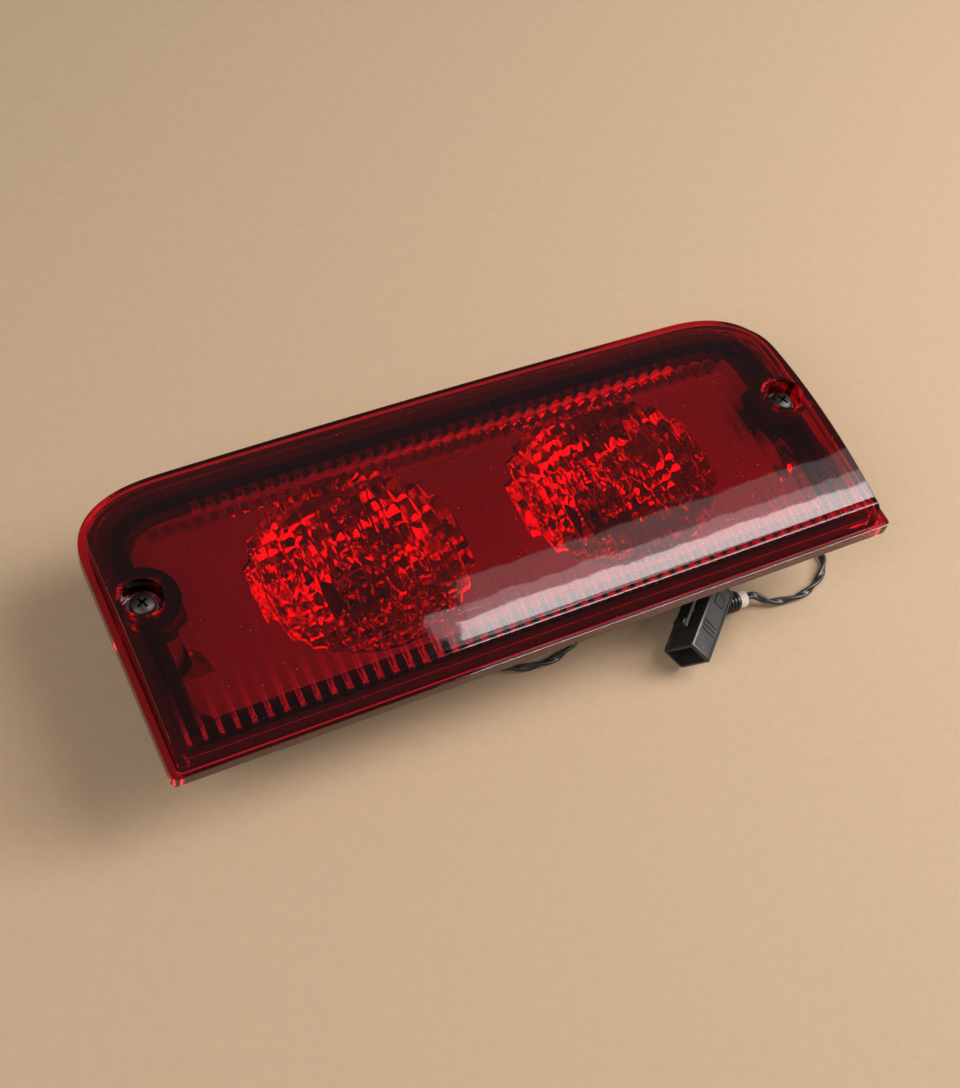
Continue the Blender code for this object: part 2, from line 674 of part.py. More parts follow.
def build_reflector():
    """The chromed reflector: a plate with two bowls, a stepped top and two corner gussets."""
    low = REFLECTOR_TOP - REFLECTOR_T
    reflector = plate("reflector", lamp_outline(TUB_INSET_TOP, REFLECTOR_CORNER_R), low, REFLECTOR_TOP, PARTS,
                      reflector_chrome())
    for count, (step_y, rise) in enumerate(((STEP_1_Y, STEP_1_RISE), (STEP_2_Y, STEP_2_RISE))):
        step = box("reflector_step_%d" % count, (-LENS_WIDTH / 2, step_y, REFLECTOR_TOP - BURIED),
                   (LENS_WIDTH / 2, LENS_HEIGHT / 2, REFLECTOR_TOP + rise), CUTTERS)
        boolean(reflector, step, "UNION")
    for side, word in ((-1, "left"), (1, "right")):
        centre = (side * LAMP_X, LAMP_Y)
        shell = turned("bowl_outside_" + word,
                       [(0.0, REFLECTOR_TOP - BURIED / 2), (BOWL_R + REFLECTOR_T, REFLECTOR_TOP - BURIED / 2)]
                       + bowl_profile(REFLECTOR_T)[1:] + [(0.0, BOWL_BOTTOM)], centre, CUTTERS)
        shell.scale = (BOWL_STRETCH, 1.0, 1.0)
        boolean(reflector, shell, "UNION")
        inside = turned("bowl_inside_" + word,
                        [(0.0, REFLECTOR_TOP + 9.0), (BOWL_R, REFLECTOR_TOP + 9.0)]
                        + bowl_profile(0.0) + [(BOWL_HOLE_R, BOWL_BOTTOM - 3.0), (0.0, BOWL_BOTTOM - 3.0)],
                        centre, CUTTERS)
        inside.scale = (BOWL_STRETCH, 1.0, 1.0)
        boolean(reflector, inside, "DIFFERENCE")
        gusset = plate("gusset_" + word,
                       [(side * (GUSSET_X - GUSSET_HALF), GUSSET_Y - GUSSET_HALF),
                        (side * (GUSSET_X + GUSSET_HALF), GUSSET_Y - GUSSET_HALF),
                        (side * (GUSSET_X + GUSSET_TIP_X), GUSSET_Y + GUSSET_TIP_Y)],
                       REFLECTOR_TOP - BURIED, REFLECTOR_TOP + GUSSET_RISE, CUTTERS)
        boolean(reflector, gusset, "UNION")
        clear = cylinder("reflector_post_clear_" + word, (side * SCREW_X, SCREW_Y),
                         BOSS_HEAD_R + REFLECTOR_CLEAR, BOWL_BOTTOM - 4.0, RIM_TOP + CUT_ABOVE,
                         CUTTERS, sides=40)
        boolean(reflector, clear, "DIFFERENCE")
    clear_top = TUB_INSET_INNER_TOP + REFLECTOR_CLEAR
    clear_bottom = TUB_INSET_INNER_BOTTOM + REFLECTOR_CLEAR
    upper = lamp_outline(clear_top, TUB_INNER_CORNER_R)
    envelope = loft("reflector_envelope", [(lamp_outline(clear_bottom, TUB_INNER_CORNER_R), FLOOR_TOP),
                                           (upper, FLANGE_TOP), (upper, RIM_TOP + CUT_ABOVE - 3.0)], CUTTERS)
    boolean(reflector, envelope, "INTERSECT")


# ---------------------------------------------------------------- screws

def build_screw(side, word):
    """One mounting screw with its washer, the sleeve it passes through and its retainer."""
    centre = (side * SCREW_X, SCREW_Y)
    sleeve = turned("screw_sleeve_" + word,
                    [(SLEEVE_BORE_R, WELL_FLOOR_TOP), (SLEEVE_R, WELL_FLOOR_TOP),
                     (SLEEVE_R, POST_BOTTOM), (SLEEVE_BORE_R, POST_BOTTOM)],
                    centre, PARTS, zinc_steel(), steps=24, closed=True)
    sleeve.data.shade_smooth()
    turned("screw_washer_" + word,
           [(SLEEVE_BORE_R, WASHER_BOTTOM + WASHER_T), (WASHER_R, WASHER_BOTTOM + WASHER_T),
            (WASHER_R, WASHER_BOTTOM), (SLEEVE_BORE_R, WASHER_BOTTOM)],
           centre, PARTS, black_rubber(), steps=24, closed=True)
    head_top = HEAD_BOTTOM + SCREW_HEAD_T
    tip = HEAD_BOTTOM - SCREW_LENGTH
    screw = turned("screw_" + word,
                   [(0.0, head_top), (SCREW_HEAD_R * 0.6, head_top - 0.25),
                    (SCREW_HEAD_R, head_top - HEAD_DOME),
                    (SCREW_HEAD_R, HEAD_BOTTOM), (SHANK_R, HEAD_BOTTOM), (SHANK_R, tip + TIP_LENGTH),
                    (TIP_R, tip), (0.0, tip)],
                   centre, PARTS, black_steel(), steps=24)
    screw.data.shade_smooth()
    for count, (reach_x, reach_y) in enumerate(((CROSS_REACH, CROSS_HALF), (CROSS_HALF, CROSS_REACH))):
        arm = box("cross_%s_%d" % (word, count),
                  (centre[0] - reach_x, centre[1] - reach_y, head_top - CROSS_DEPTH),
                  (centre[0] + reach_x, centre[1] + reach_y, head_top + 1.0), CUTTERS)
        boolean(screw, arm, "DIFFERENCE")
    turned("screw_retainer_" + word,
           [(SHANK_R + FIT_CLEAR, POST_BOTTOM - TOUCH_GAP), (RETAINER_R, POST_BOTTOM - TOUCH_GAP),
            (RETAINER_R, POST_BOTTOM - TOUCH_GAP - RETAINER_T),
            (SHANK_R + FIT_CLEAR, POST_BOTTOM - TOUCH_GAP - RETAINER_T)],
           centre, PARTS, zinc_steel(), steps=24, closed=True)


# ---------------------------------------------------------------- bulbs and sockets

def bulb_envelope(word, centre):
    """The glass of a wedge bulb: a hollow dome on a flat wedge, open through its small bore."""
    top = GLASS_BOTTOM + BULB_HEIGHT
    outside = [(0.0, top)]
    for step in range(1, 6):
        angle = math.radians(90 * step / 5)
        outside.append((BULB_R * math.sin(angle), top - BULB_R + BULB_R * math.cos(angle)))
    outside += [(BULB_R, GLASS_BOTTOM + BULB_SHOULDER), (BULB_R * 0.62, GLASS_BOTTOM + 0.6),
                (BULB_R * 0.5, GLASS_BOTTOM),
                (0.0, GLASS_BOTTOM)]
    glass = turned("bulb_" + word, outside, centre, PARTS, clear_glass(), steps=24)
    glass.data.shade_smooth()
    wedge = box("bulb_wedge_" + word,
                (centre[0] - WEDGE_WIDTH / 2, centre[1] - WEDGE_T / 2, WEDGE_BOTTOM),
                (centre[0] + WEDGE_WIDTH / 2, centre[1] + WEDGE_T / 2, GLASS_BOTTOM + 2.0), CUTTERS)
    boolean(glass, wedge, "UNION")
    inner = BULB_R - GLASS_T
    inside = [(0.0, top - GLASS_T)]
    for step in range(1, 6):
        angle = math.radians(90 * step / 5)
        inside.append((inner * math.sin(angle), top - BULB_R + inner * math.cos(angle)))
    inside += [(inner, GLASS_BOTTOM + BULB_SHOULDER + 0.6), (3.4, GLASS_BOTTOM + PINCH_TOP),
               (STEM_BORE_R, GLASS_BOTTOM + PINCH_TOP - 0.4),
               (STEM_BORE_R, WEDGE_BOTTOM - 1.0), (0.0, WEDGE_BOTTOM - 1.0)]
    boolean(glass, turned("bulb_hollow_" + word, inside, centre, CUTTERS, steps=24), "DIFFERENCE")


def build_filament(word, centre):
    """The two leads with the filament arched between them."""
    foot = GLASS_BOTTOM + PINCH_TOP + TOUCH_GAP
    top = GLASS_BOTTOM + FILAMENT_RISE
    route = [(centre[0] - 2.4, centre[1], foot), (centre[0] - 2.4, centre[1], foot + 4.0),
             (centre[0] - 3.4, centre[1], top - 2.0), (centre[0] - 2.8, centre[1], top),
             (centre[0], centre[1], top + 0.7), (centre[0] + 2.8, centre[1], top),
             (centre[0] + 3.4, centre[1], top - 2.0), (centre[0] + 2.4, centre[1], foot + 4.0),
             (centre[0] + 2.4, centre[1], foot)]
    tube("filament_" + word, route, LEAD_R, PARTS, tungsten())


def build_socket(side, word):
    """A twist-lock socket: cap, neck with two lugs, a slot for the wedge and pockets for contacts."""
    centre = (side * LAMP_X, LAMP_Y)
    groove = CAP_TOP
    socket = turned("socket_" + word,
                    [(0.0, NECK_TOP), (NECK_R - 0.6, NECK_TOP), (NECK_R, NECK_TOP - 0.6), (NECK_R, groove),
                     (CAP_R - 0.8, groove), (CAP_R, groove - 0.8), (CAP_R, CAP_BOTTOM + 0.8),
                     (CAP_R - 0.8, CAP_BOTTOM), (NUB_R, CAP_BOTTOM), (NUB_R, NUB_BOTTOM), (0.0, NUB_BOTTOM)],
                    centre, PARTS, black_plastic(), steps=32)
    lug_low = FLOOR_TOP + FIT_CLEAR
    lugs = box("lugs_" + word, (centre[0] - LUG_R, centre[1] - LUG_WIDTH / 2, lug_low),
               (centre[0] + LUG_R, centre[1] + LUG_WIDTH / 2, lug_low + LUG_T), CUTTERS)
    boolean(socket, lugs, "UNION")
    for count, turn_side in enumerate((-1, 1)):
        low_x = centre[0] + turn_side * (NUB_R + 1.4)
        high_x = centre[0] + turn_side * (CAP_R - 1.2)
        grip = box("grip_%s_%d" % (word, count),
                   (min(low_x, high_x), centre[1] - GRIP_T / 2, CAP_BOTTOM - GRIP_DEPTH),
                   (max(low_x, high_x), centre[1] + GRIP_T / 2, CAP_BOTTOM + 1.0), CUTTERS)
        boolean(socket, grip, "UNION")
    slot = box("wedge_slot_" + word,
               (centre[0] - WEDGE_WIDTH / 2 - FIT_CLEAR, centre[1] - WEDGE_T / 2 - FIT_CLEAR,
                WEDGE_BOTTOM - FIT_CLEAR),
               (centre[0] + WEDGE_WIDTH / 2 + FIT_CLEAR, centre[1] + WEDGE_T / 2 + FIT_CLEAR, NECK_TOP + 1.0),
               CUTTERS)
    boolean(socket, slot, "DIFFERENCE")
    for number, contact_side in (("a", -1), ("b", 1)):
        y = centre[1] + contact_side * (WEDGE_T / 2 + POCKET_FROM_WEDGE)
        pocket = box("contact_pocket_%s_%s" % (word, number),
                     (centre[0] - CONTACT_HALF - 0.5, y - POCKET_HALF, WEDGE_BOTTOM - FIT_CLEAR),
                     (centre[0] + CONTACT_HALF + 0.5, y + POCKET_HALF, NECK_TOP + 1.0), CUTTERS)
        boolean(socket, pocket, "DIFFERENCE")
        build_contact("contact_%s_%s" % (word, number), centre, contact_side)


def build_contact(name, centre, contact_side):
    """A bent brass spring that presses on one flat of the bulb's wedge."""
    near = WEDGE_T / 2 + CONTACT_CLEAR
    outer = near + CONTACT_REACH
    foot = WEDGE_BOTTOM
    strip = CONTACT_T
    middle = (foot + NECK_TOP) / 2
    section = [(outer, foot), (outer - strip, foot), (near, middle), (outer - strip - 0.2, NECK_TOP - 0.8),
               (outer - 0.2, NECK_TOP - 0.8), (near + strip, middle)]
    points = [(contact_side * y, z) for y, z in section]
    contact = section_prism(name, points, CONTACT_HALF, PARTS, brass())
    contact.data.transform(Matrix.Translation(Vector((centre[0], centre[1], 0.0)) * MM))


def build_socket_seal(side, word):
    """The O-ring between the socket's cap and the housing's floor."""
    ring_r = NECK_R + FIT_CLEAR + SEAL_MINOR_R + 0.3
    points = []
    for step in range(8):
        angle = math.tau * step / 8
        points.append((ring_r + SEAL_MINOR_R * math.sin(angle),
                       SEAL_TOP - SEAL_MINOR_R + SEAL_MINOR_R * math.cos(angle)))
    turned("socket_seal_" + word, points, (side * LAMP_X, LAMP_Y), PARTS, black_rubber(), steps=28,
           closed=True)


# ---------------------------------------------------------------- vent and clip

def build_vent_cap():
    """A mushroom vent that breathes through the housing's floor."""
    cap_top = FLOOR_BOTTOM - TOUCH_GAP
    turned("vent_cap",
           [(0.0, FLOOR_TOP + VENT_STEM_ABOVE), (VENT_STEM_R, FLOOR_TOP + VENT_STEM_ABOVE),
            (VENT_STEM_R, cap_top),
            (VENT_CAP_R, cap_top), (VENT_CAP_R, cap_top - VENT_CAP_T + 0.6),
            (VENT_CAP_R - 0.6, cap_top - VENT_CAP_T), (0.0, cap_top - VENT_CAP_T)],
           (VENT_X, VENT_Y), PARTS, black_rubber(), steps=24)


def build_harness_clip():
    """A ring on a barbed stem that holds the harness cord under the tub."""
    inner = CORD_D / 2 + FIT_CLEAR
    outer = inner + CLIP_WALL
    clip = rod("harness_clip", (CLIP_X - CLIP_LENGTH / 2, CLIP_Y, CLIP_Z), (1, 0, 0), outer, CLIP_LENGTH,
               PARTS, black_plastic(), sides=24)
    stem = cylinder("clip_stem", (CLIP_X, CLIP_Y), CLIP_STEM_R, CLIP_Z + inner + 0.4, FLOOR_TOP + 1.2,
                    CUTTERS, sides=16)
    pad = cylinder("clip_pad", (CLIP_X, CLIP_Y), CLIP_PAD_R, FLOOR_BOTTOM - TOUCH_GAP - CLIP_PAD_T,
                   FLOOR_BOTTOM - TOUCH_GAP, CUTTERS, sides=20)
    boolean(clip, stem, "UNION")
    boolean(clip, pad, "UNION")
    bore = rod("clip_bore", (CLIP_X - CLIP_LENGTH, CLIP_Y, CLIP_Z), (1, 0, 0), inner, CLIP_LENGTH * 2,
               CUTTERS, sides=20)
    boolean(clip, bore, "DIFFERENCE")


# ---------------------------------------------------------------- connector

def connector_frame():
    """The connector's own frame: x towards its wire end, z out of its top face."""
    lowest = (CONN_WIDTH / 2 * math.sin(math.radians(CONN_ROLL))
              + CONN_DEPTH * math.cos(math.radians(CONN_ROLL)))
    origin = Vector((CONN_X, CONN_Y, lowest + TOUCH_GAP)) * MM
    return (Matrix.Translation(origin) @ Matrix.Rotation(math.radians(CONN_YAW), 4, "Z")
            @ Matrix.Rotation(math.radians(CONN_ROLL), 4, "X"))


def outlet_axis():
    """Where the cable outlet starts inside the connector, and the way it points."""
    frame = connector_frame()
    inside = Vector((CONN_LENGTH - OUTLET_BURIED_X, -CONN_WIDTH / 2 + OUTLET_FROM_SIDE, -OUTLET_DOWN))
    start = frame @ (inside * MM) / MM
    return start, Vector((1.0, 0.0, -0.1)).normalized()


def build_connector():
    """The two-way connector with its latch, lock, terminals and cable outlet."""
    frame = connector_frame()
    half = CONN_WIDTH / 2
    shell = box("connector_housing", (0.0, -half, -CONN_DEPTH), (CONN_LENGTH, half, 0.0), PARTS,
                black_plastic(), bevel=CONN_EDGE)
    shell.data.transform(frame)
    mouth = box("connector_mouth", (-2.0, -half + CONN_WALL, -CONN_DEPTH + CONN_WALL),
                (CONN_CAVITY, half - CONN_WALL, -CONN_WALL), CUTTERS)
    mouth.data.transform(frame)
    boolean(shell, mouth, "DIFFERENCE")
    start, axis = outlet_axis()
    outlet = rod("connector_outlet", start, axis, OUTLET_R, OUTLET_LENGTH, CUTTERS)
    boolean(shell, outlet, "UNION")
    lock_x = CONN_LENGTH - LOCK_FROM_END
    lock_hole = box("lock_hole", (lock_x - FIT_CLEAR, -LOCK_SIZE / 2 - FIT_CLEAR, -LOCK_DEPTH),
                    (lock_x + LOCK_SIZE + FIT_CLEAR, LOCK_SIZE / 2 + FIT_CLEAR, 1.0), CUTTERS)
    lock_hole.data.transform(frame)
    boolean(shell, lock_hole, "DIFFERENCE")
    lock = box("terminal_lock", (lock_x, -LOCK_SIZE / 2, -LOCK_DEPTH + TOUCH_GAP),
               (lock_x + LOCK_SIZE, LOCK_SIZE / 2, -0.2), PARTS, black_plastic())
    lock.data.transform(frame)
    build_latch(frame)
    for number, place in (("a", -1), ("b", 1)):
        z = -CONN_DEPTH / 2 + place * TERMINAL_PITCH / 2
        blade_end = CONN_CAVITY + TERMINAL_SEAT
        slot = box("terminal_slot_" + number,
                   (CONN_CAVITY - 1.0, -TERMINAL_WIDTH / 2 - FIT_CLEAR, z - TERMINAL_T / 2 - FIT_CLEAR),
                   (blade_end + FIT_CLEAR + 0.1, TERMINAL_WIDTH / 2 + FIT_CLEAR,
                    z + TERMINAL_T / 2 + FIT_CLEAR), CUTTERS)
        slot.data.transform(frame)
        boolean(shell, slot, "DIFFERENCE")
        blade = box("terminal_" + number,
                    (blade_end - TERMINAL_LENGTH, -TERMINAL_WIDTH / 2, z - TERMINAL_T / 2),
                    (blade_end, TERMINAL_WIDTH / 2, z + TERMINAL_T / 2), PARTS, zinc_steel())
        blade.data.transform(frame)
    rod("cable_seal", start + axis * (OUTLET_LENGTH + TOUCH_GAP), axis, CABLE_SEAL_R,
        CABLE_SEAL_LENGTH, PARTS, white_silicone())


def build_latch(frame):
    """The latch lever on the connector's left side, standing off on a small pivot block."""
    side = CONN_WIDTH / 2
    middle = CONN_LENGTH * 0.5
    gap = LATCH_GAP
    z = -CONN_DEPTH / 2
    lever = box("connector_latch", (middle - LATCH_LENGTH / 2, side + gap, z - LATCH_WIDTH / 2),
                (middle + LATCH_LENGTH / 2, side + gap + LATCH_T, z + LATCH_WIDTH / 2), PARTS,
                black_plastic())
    inner_half = LATCH_WIDTH / 2 - 0.3
    hook_x = middle - LATCH_LENGTH / 2 + 0.3
    hook = box("latch_hook", (hook_x, side + gap + LATCH_T / 2, z - inner_half),
               (hook_x + HOOK_LENGTH, side + gap + LATCH_T + HOOK_RISE, z + inner_half), CUTTERS)
    pivot = box("latch_pivot", (middle - PIVOT_HALF, side + TOUCH_GAP, z - inner_half),
                (middle + PIVOT_HALF, side + gap + LATCH_T / 2, z + inner_half), CUTTERS)
    boolean(lever, hook, "UNION")
    boolean(lever, pivot, "UNION")
    for solid in (lever, hook, pivot):
        solid.data.transform(frame)


# ---------------------------------------------------------------- cords

def socket_drop(x, heading):
    """The quarter bend below a socket's nub, from its mouth to the surface, as route points."""
    top = NUB_BOTTOM - 2 * TOUCH_GAP
    away = Vector((math.cos(math.radians(heading)), math.sin(math.radians(heading)), 0.0))
    mouth = Vector((x, LAMP_Y, top))
    points = []
    for step in range(5):
        angle = math.radians(90 * step / 4)
        drop = Vector((0.0, 0.0, CORD_BEND * math.sin(angle)))
        points.append(mouth + away * CORD_BEND * (1 - math.cos(angle)) - drop)
    return points


def harness_route():
    """The main cord's way from the connector's seal, round the end of the lamp, to the right socket."""
    start, axis = outlet_axis()
    first = start + axis * (OUTLET_LENGTH + 2 * TOUCH_GAP + CABLE_SEAL_LENGTH)
    return [first, first + axis * 4.0, (97.0, -45.0, 2.4), (108.0, -46.5, 1.8), (118.0, -43.6, 1.8),
            (125.2, -36.0, 1.8), (123.4, -22.0, 2.0), (112.0, -9.0, 3.4), (97.0, -2.0, 6.0),
            (88.0, 0.0, CLIP_Z - 0.4), (CLIP_X + 5.0, CLIP_Y, CLIP_Z), (CLIP_X - 5.0, CLIP_Y, CLIP_Z),
            (65.5, 0.0, 6.0),
            (59.5, LAMP_Y, 2.6)] + list(reversed(socket_drop(LAMP_X + CORD_OFFSET, 0.0)))


def link_route():
    """The link cord's way from the right socket, out past the front edge, to the left socket."""
    surface = CORD_D / 2 + TOUCH_GAP
    return socket_drop(LAMP_X - CORD_OFFSET, -115.0) + [
        (37.5, -15.0, surface), (31.0, -27.0, surface), (21.0, -35.0, surface), (8.0, -37.4, surface),
        (-6.0, -33.0, surface), (-17.0, -22.0, surface), (-29.0, -10.0, surface),
    ] + list(reversed(socket_drop(-LAMP_X, -20.0)))


def build_cords():
    """The two free cords of the harness."""
    tube("harness_cord", smooth_route(harness_route(), CORD_SPACING), CORD_D / 2, PARTS, cord_sleeve())
    tube("link_cord", smooth_route(link_route(), CORD_SPACING), CORD_D / 2, PARTS, cord_sleeve())


def build_all():
    start_scene()
    build_lens()
    build_seal_bead()
    build_body_gasket()
    build_housing()
    build_reflector()
    for side, word in ((-1, "left"), (1, "right")):
        build_screw(side, word)
        build_socket(side, word)
        bulb_envelope(word, (side * LAMP_X, LAMP_Y))
        build_filament(word, (side * LAMP_X, LAMP_Y))
        build_socket_seal(side, word)
    build_vent_cap()
    build_harness_clip()
    build_connector()
    build_cords()


build_all()
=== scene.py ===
"""Looks of the third brake light: fluted red lens, cut-facet reflector, housing, sockets and harness.

The lamp lies on its back. +Z is the way the lens faces, X runs along the lamp and -Y is the lens's
straight lower edge. Sizes are in millimetres in the dataclasses and turned into metres by MM.
"""
import logging
import math
import random
from dataclasses import dataclass
from enum import Enum
from typing import Callable, Iterable, Optional, Sequence

import bmesh
import bpy
from mathutils import Matrix, Vector


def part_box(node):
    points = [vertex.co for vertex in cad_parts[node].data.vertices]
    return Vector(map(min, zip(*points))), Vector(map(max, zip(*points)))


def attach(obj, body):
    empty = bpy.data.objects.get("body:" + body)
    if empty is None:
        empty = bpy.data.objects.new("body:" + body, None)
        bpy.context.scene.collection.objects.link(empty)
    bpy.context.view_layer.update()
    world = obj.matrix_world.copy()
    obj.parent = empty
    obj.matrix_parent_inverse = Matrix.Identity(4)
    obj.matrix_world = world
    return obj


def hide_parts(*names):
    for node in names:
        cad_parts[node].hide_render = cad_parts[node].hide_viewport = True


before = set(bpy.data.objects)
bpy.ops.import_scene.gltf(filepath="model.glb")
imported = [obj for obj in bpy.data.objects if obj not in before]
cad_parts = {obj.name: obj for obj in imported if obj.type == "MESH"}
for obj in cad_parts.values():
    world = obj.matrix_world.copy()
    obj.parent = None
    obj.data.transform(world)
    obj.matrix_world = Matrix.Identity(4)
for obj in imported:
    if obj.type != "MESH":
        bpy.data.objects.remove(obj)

MM = 0.001
LOG = logging.getLogger("brake_light")
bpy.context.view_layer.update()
Point = tuple[float, float]
Colour = tuple[float, float, float]


class Side(Enum):
    """Which end of the lamp a repeated piece belongs to."""

    LEFT = -1
    RIGHT = 1

    @property
    def word(self) -> str:
        """The word used in node names."""
        return self.name.lower()


# ---------------------------------------------------------------- shader node groups


class Bench:
    """A short way to add and join the nodes of one tree."""

    def __init__(self, tree: bpy.types.NodeTree) -> None:
        """Take the tree to work on.

        Args:
            tree: the material's or the group's node tree.
        """
        self.tree = tree

    def add(self, kind: str, **settings: object) -> bpy.types.Node:
        """Add a node.

        Args:
            kind: the node's type without its ShaderNode prefix, or its whole name.
            settings: attributes to set on it.

        Returns:
            The new node.
        """
        name = kind if kind.startswith("Node") else "ShaderNode" + kind
        node = self.tree.nodes.new(name)
        for key, value in settings.items():
            setattr(node, key, value)
        return node

    def join(self, source: bpy.types.NodeSocket, target: bpy.types.NodeSocket) -> None:
        """Link an output to an input."""
        self.tree.links.new(source, target)

    def noise(self, vector: bpy.types.NodeSocket, scale: object, detail: float = 3.0,
              roughness: float = 0.55) -> bpy.types.NodeSocket:
        """Add a noise texture.

        Args:
            vector: what it reads.
            scale: a number, or a socket that gives it.
            detail: octaves of noise.
            roughness: how strong the finer octaves are.

        Returns:
            Its factor output.
        """
        node = self.add("TexNoise")
        node.inputs["Detail"].default_value = detail
        node.inputs["Roughness"].default_value = roughness
        self.join(vector, node.inputs["Vector"])
        if isinstance(scale, (int, float)):
            node.inputs["Scale"].default_value = scale
        else:
            self.join(scale, node.inputs["Scale"])
        return node.outputs["Fac"]

    def spread(self, value: bpy.types.NodeSocket, low: float, high: float, to_low: object,
               to_high: object) -> bpy.types.NodeSocket:
        """Map a value's range onto another.

        Args:
            value: what is mapped.
            low: where the range starts.
            high: where it ends.
            to_low: number or socket for the start of the result.
            to_high: number or socket for its end.

        Returns:
            The mapped value.
        """
        node = self.add("MapRange")
        node.inputs["From Min"].default_value = low
        node.inputs["From Max"].default_value = high
        self.join(value, node.inputs["Value"])
        for name, given in (("To Min", to_low), ("To Max", to_high)):
            if isinstance(given, (int, float)):
                node.inputs[name].default_value = given
            else:
                self.join(given, node.inputs[name])
        return node.outputs["Result"]

    def sum(self, operation: str, first: object, second: object) -> bpy.types.NodeSocket:
        """Combine two values with a Math node.

        Args:
            operation: the Math node's operation.
            first: a number or a socket.
            second: a number or a socket.

        Returns:
            The result.
        """
        node = self.add("Math", operation=operation)
        for place, given in enumerate((first, second)):
            if isinstance(given, (int, float)):
                node.inputs[place].default_value = given
            else:
                self.join(given, node.inputs[place])
        return node.outputs[0]

    def blend(self, share: object, first: object, second: object) -> bpy.types.NodeSocket:
        """Mix two colours.

        Args:
            share: a number or a socket, how much of the second.
            first: a colour or a socket.
            second: a colour or a socket.

        Returns:
            The mixed colour.
        """
        node = self.add("Mix", data_type="RGBA")
        if isinstance(share, (int, float)):
            node.inputs[0].default_value = share
        else:
            self.join(share, node.inputs[0])
        for place, given in ((6, first), (7, second)):
            if isinstance(given, tuple):
                node.inputs[place].default_value = (*given, 1.0)
            else:
                self.join(given, node.inputs[place])
        return node.outputs[2]


def new_group(name: str, takes: Sequence[tuple[str, str, object]],
              gives: Sequence[tuple[str, str]]) -> tuple[bpy.types.NodeTree, Bench, dict, dict]:
    """Start a shader node group.

    Args:
        name: the group's name.
        takes: name, socket type and default of each input.
        gives: name and socket type of each output.

    Returns:
        The group, a bench on it, its input sockets and its output sockets by name.
    """
    group = bpy.data.node_groups.new(name, "ShaderNodeTree")
    for label, kind, default in takes:
        socket = group.interface.new_socket(label, in_out="INPUT", socket_type=kind)
        if default is not None:
            socket.default_value = default
    for label, kind in gives:
        group.interface.new_socket(label, in_out="OUTPUT", socket_type=kind)
    bench = Bench(group)
    entry = bench.add("NodeGroupInput")
    leave = bench.add("NodeGroupOutput")
    return group, bench, dict(entry.outputs.items()), dict(leave.inputs.items())


def grain_group() -> bpy.types.NodeTree:
    """The group for a moulded or textured surface: a height and an uneven mask."""
    group, bench, takes, gives = new_group(
        "surface_grain",
        [("Vector", "NodeSocketVector", None), ("Scale", "NodeSocketFloat", 900.0)],
        [("Height", "NodeSocketFloat"), ("Uneven", "NodeSocketFloat")])
    fine = bench.noise(takes["Vector"], takes["Scale"], 2.0)
    broad = bench.noise(takes["Vector"], bench.sum("MULTIPLY", takes["Scale"], 0.06), 4.0, 0.6)
    height = bench.sum("ADD", bench.sum("MULTIPLY", fine, 0.75), bench.sum("MULTIPLY", broad, 0.25))
    bench.join(height, gives["Height"])
    bench.join(bench.spread(broad, 0.35, 0.65, 0.0, 1.0), gives["Uneven"])
    return group


def dust_group() -> bpy.types.NodeTree:
    """The group for settled dust: small pale specks and a thin film on what faces up."""
    group, bench, takes, gives = new_group(
        "settled_dust",
        [("Vector", "NodeSocketVector", None), ("Speck Size", "NodeSocketFloat", 0.06),
         ("Film", "NodeSocketFloat", 0.1)],
        [("Mask", "NodeSocketFloat")])
    cells = bench.add("TexVoronoi")
    cells.inputs["Scale"].default_value = 520.0
    bench.join(takes["Vector"], cells.inputs["Vector"])
    near = bench.sum("LESS_THAN", cells.outputs["Distance"], takes["Speck Size"])
    rare = bench.sum("GREATER_THAN", bench.noise(takes["Vector"], 90.0, 2.0), 0.56)
    specks = bench.sum("MULTIPLY", near, rare)
    facing = bench.add("NewGeometry")
    split = bench.add("SeparateXYZ")
    bench.join(facing.outputs["Normal"], split.inputs[0])
    up = bench.spread(split.outputs["Z"], 0.2, 1.0, 0.0, 1.0)
    film = bench.sum("MULTIPLY", bench.noise(takes["Vector"], 55.0, 5.0, 0.7), takes["Film"])
    total = bench.sum("MULTIPLY", bench.sum("ADD", specks, film), up)
    bench.join(bench.sum("MINIMUM", total, 1.0), gives["Mask"])
    return group


def scuff_group() -> bpy.types.NodeTree:
    """The group for fine rubbing marks: long thin streaks in two directions."""
    group, bench, takes, gives = new_group(
        "fine_scuffs",
        [("Vector", "NodeSocketVector", None), ("Amount", "NodeSocketFloat", 0.5)],
        [("Mask", "NodeSocketFloat"), ("Height", "NodeSocketFloat")])
    masks = []
    for turn, stretch in ((0.35, (14.0, 1300.0, 14.0)), (1.25, (1100.0, 18.0, 20.0))):
        place = bench.add("Mapping")
        place.inputs["Rotation"].default_value = (0.0, 0.0, turn)
        place.inputs["Scale"].default_value = stretch
        bench.join(takes["Vector"], place.inputs["Vector"])
        masks.append(bench.spread(bench.noise(place.outputs["Vector"], 1.0, 2.0), 0.66, 0.76, 0.0, 1.0))
    both = bench.sum("MAXIMUM", masks[0], masks[1])
    patch = bench.spread(bench.noise(takes["Vector"], 30.0, 2.0), 0.45, 0.7, 0.0, 1.0)
    mask = bench.sum("MULTIPLY", bench.sum("MULTIPLY", both, patch), takes["Amount"])
    bench.join(mask, gives["Mask"])
    bench.join(bench.sum("MULTIPLY", mask, -1.0), gives["Height"])
    return group


GROUPS: dict[str, bpy.types.NodeTree] = {}


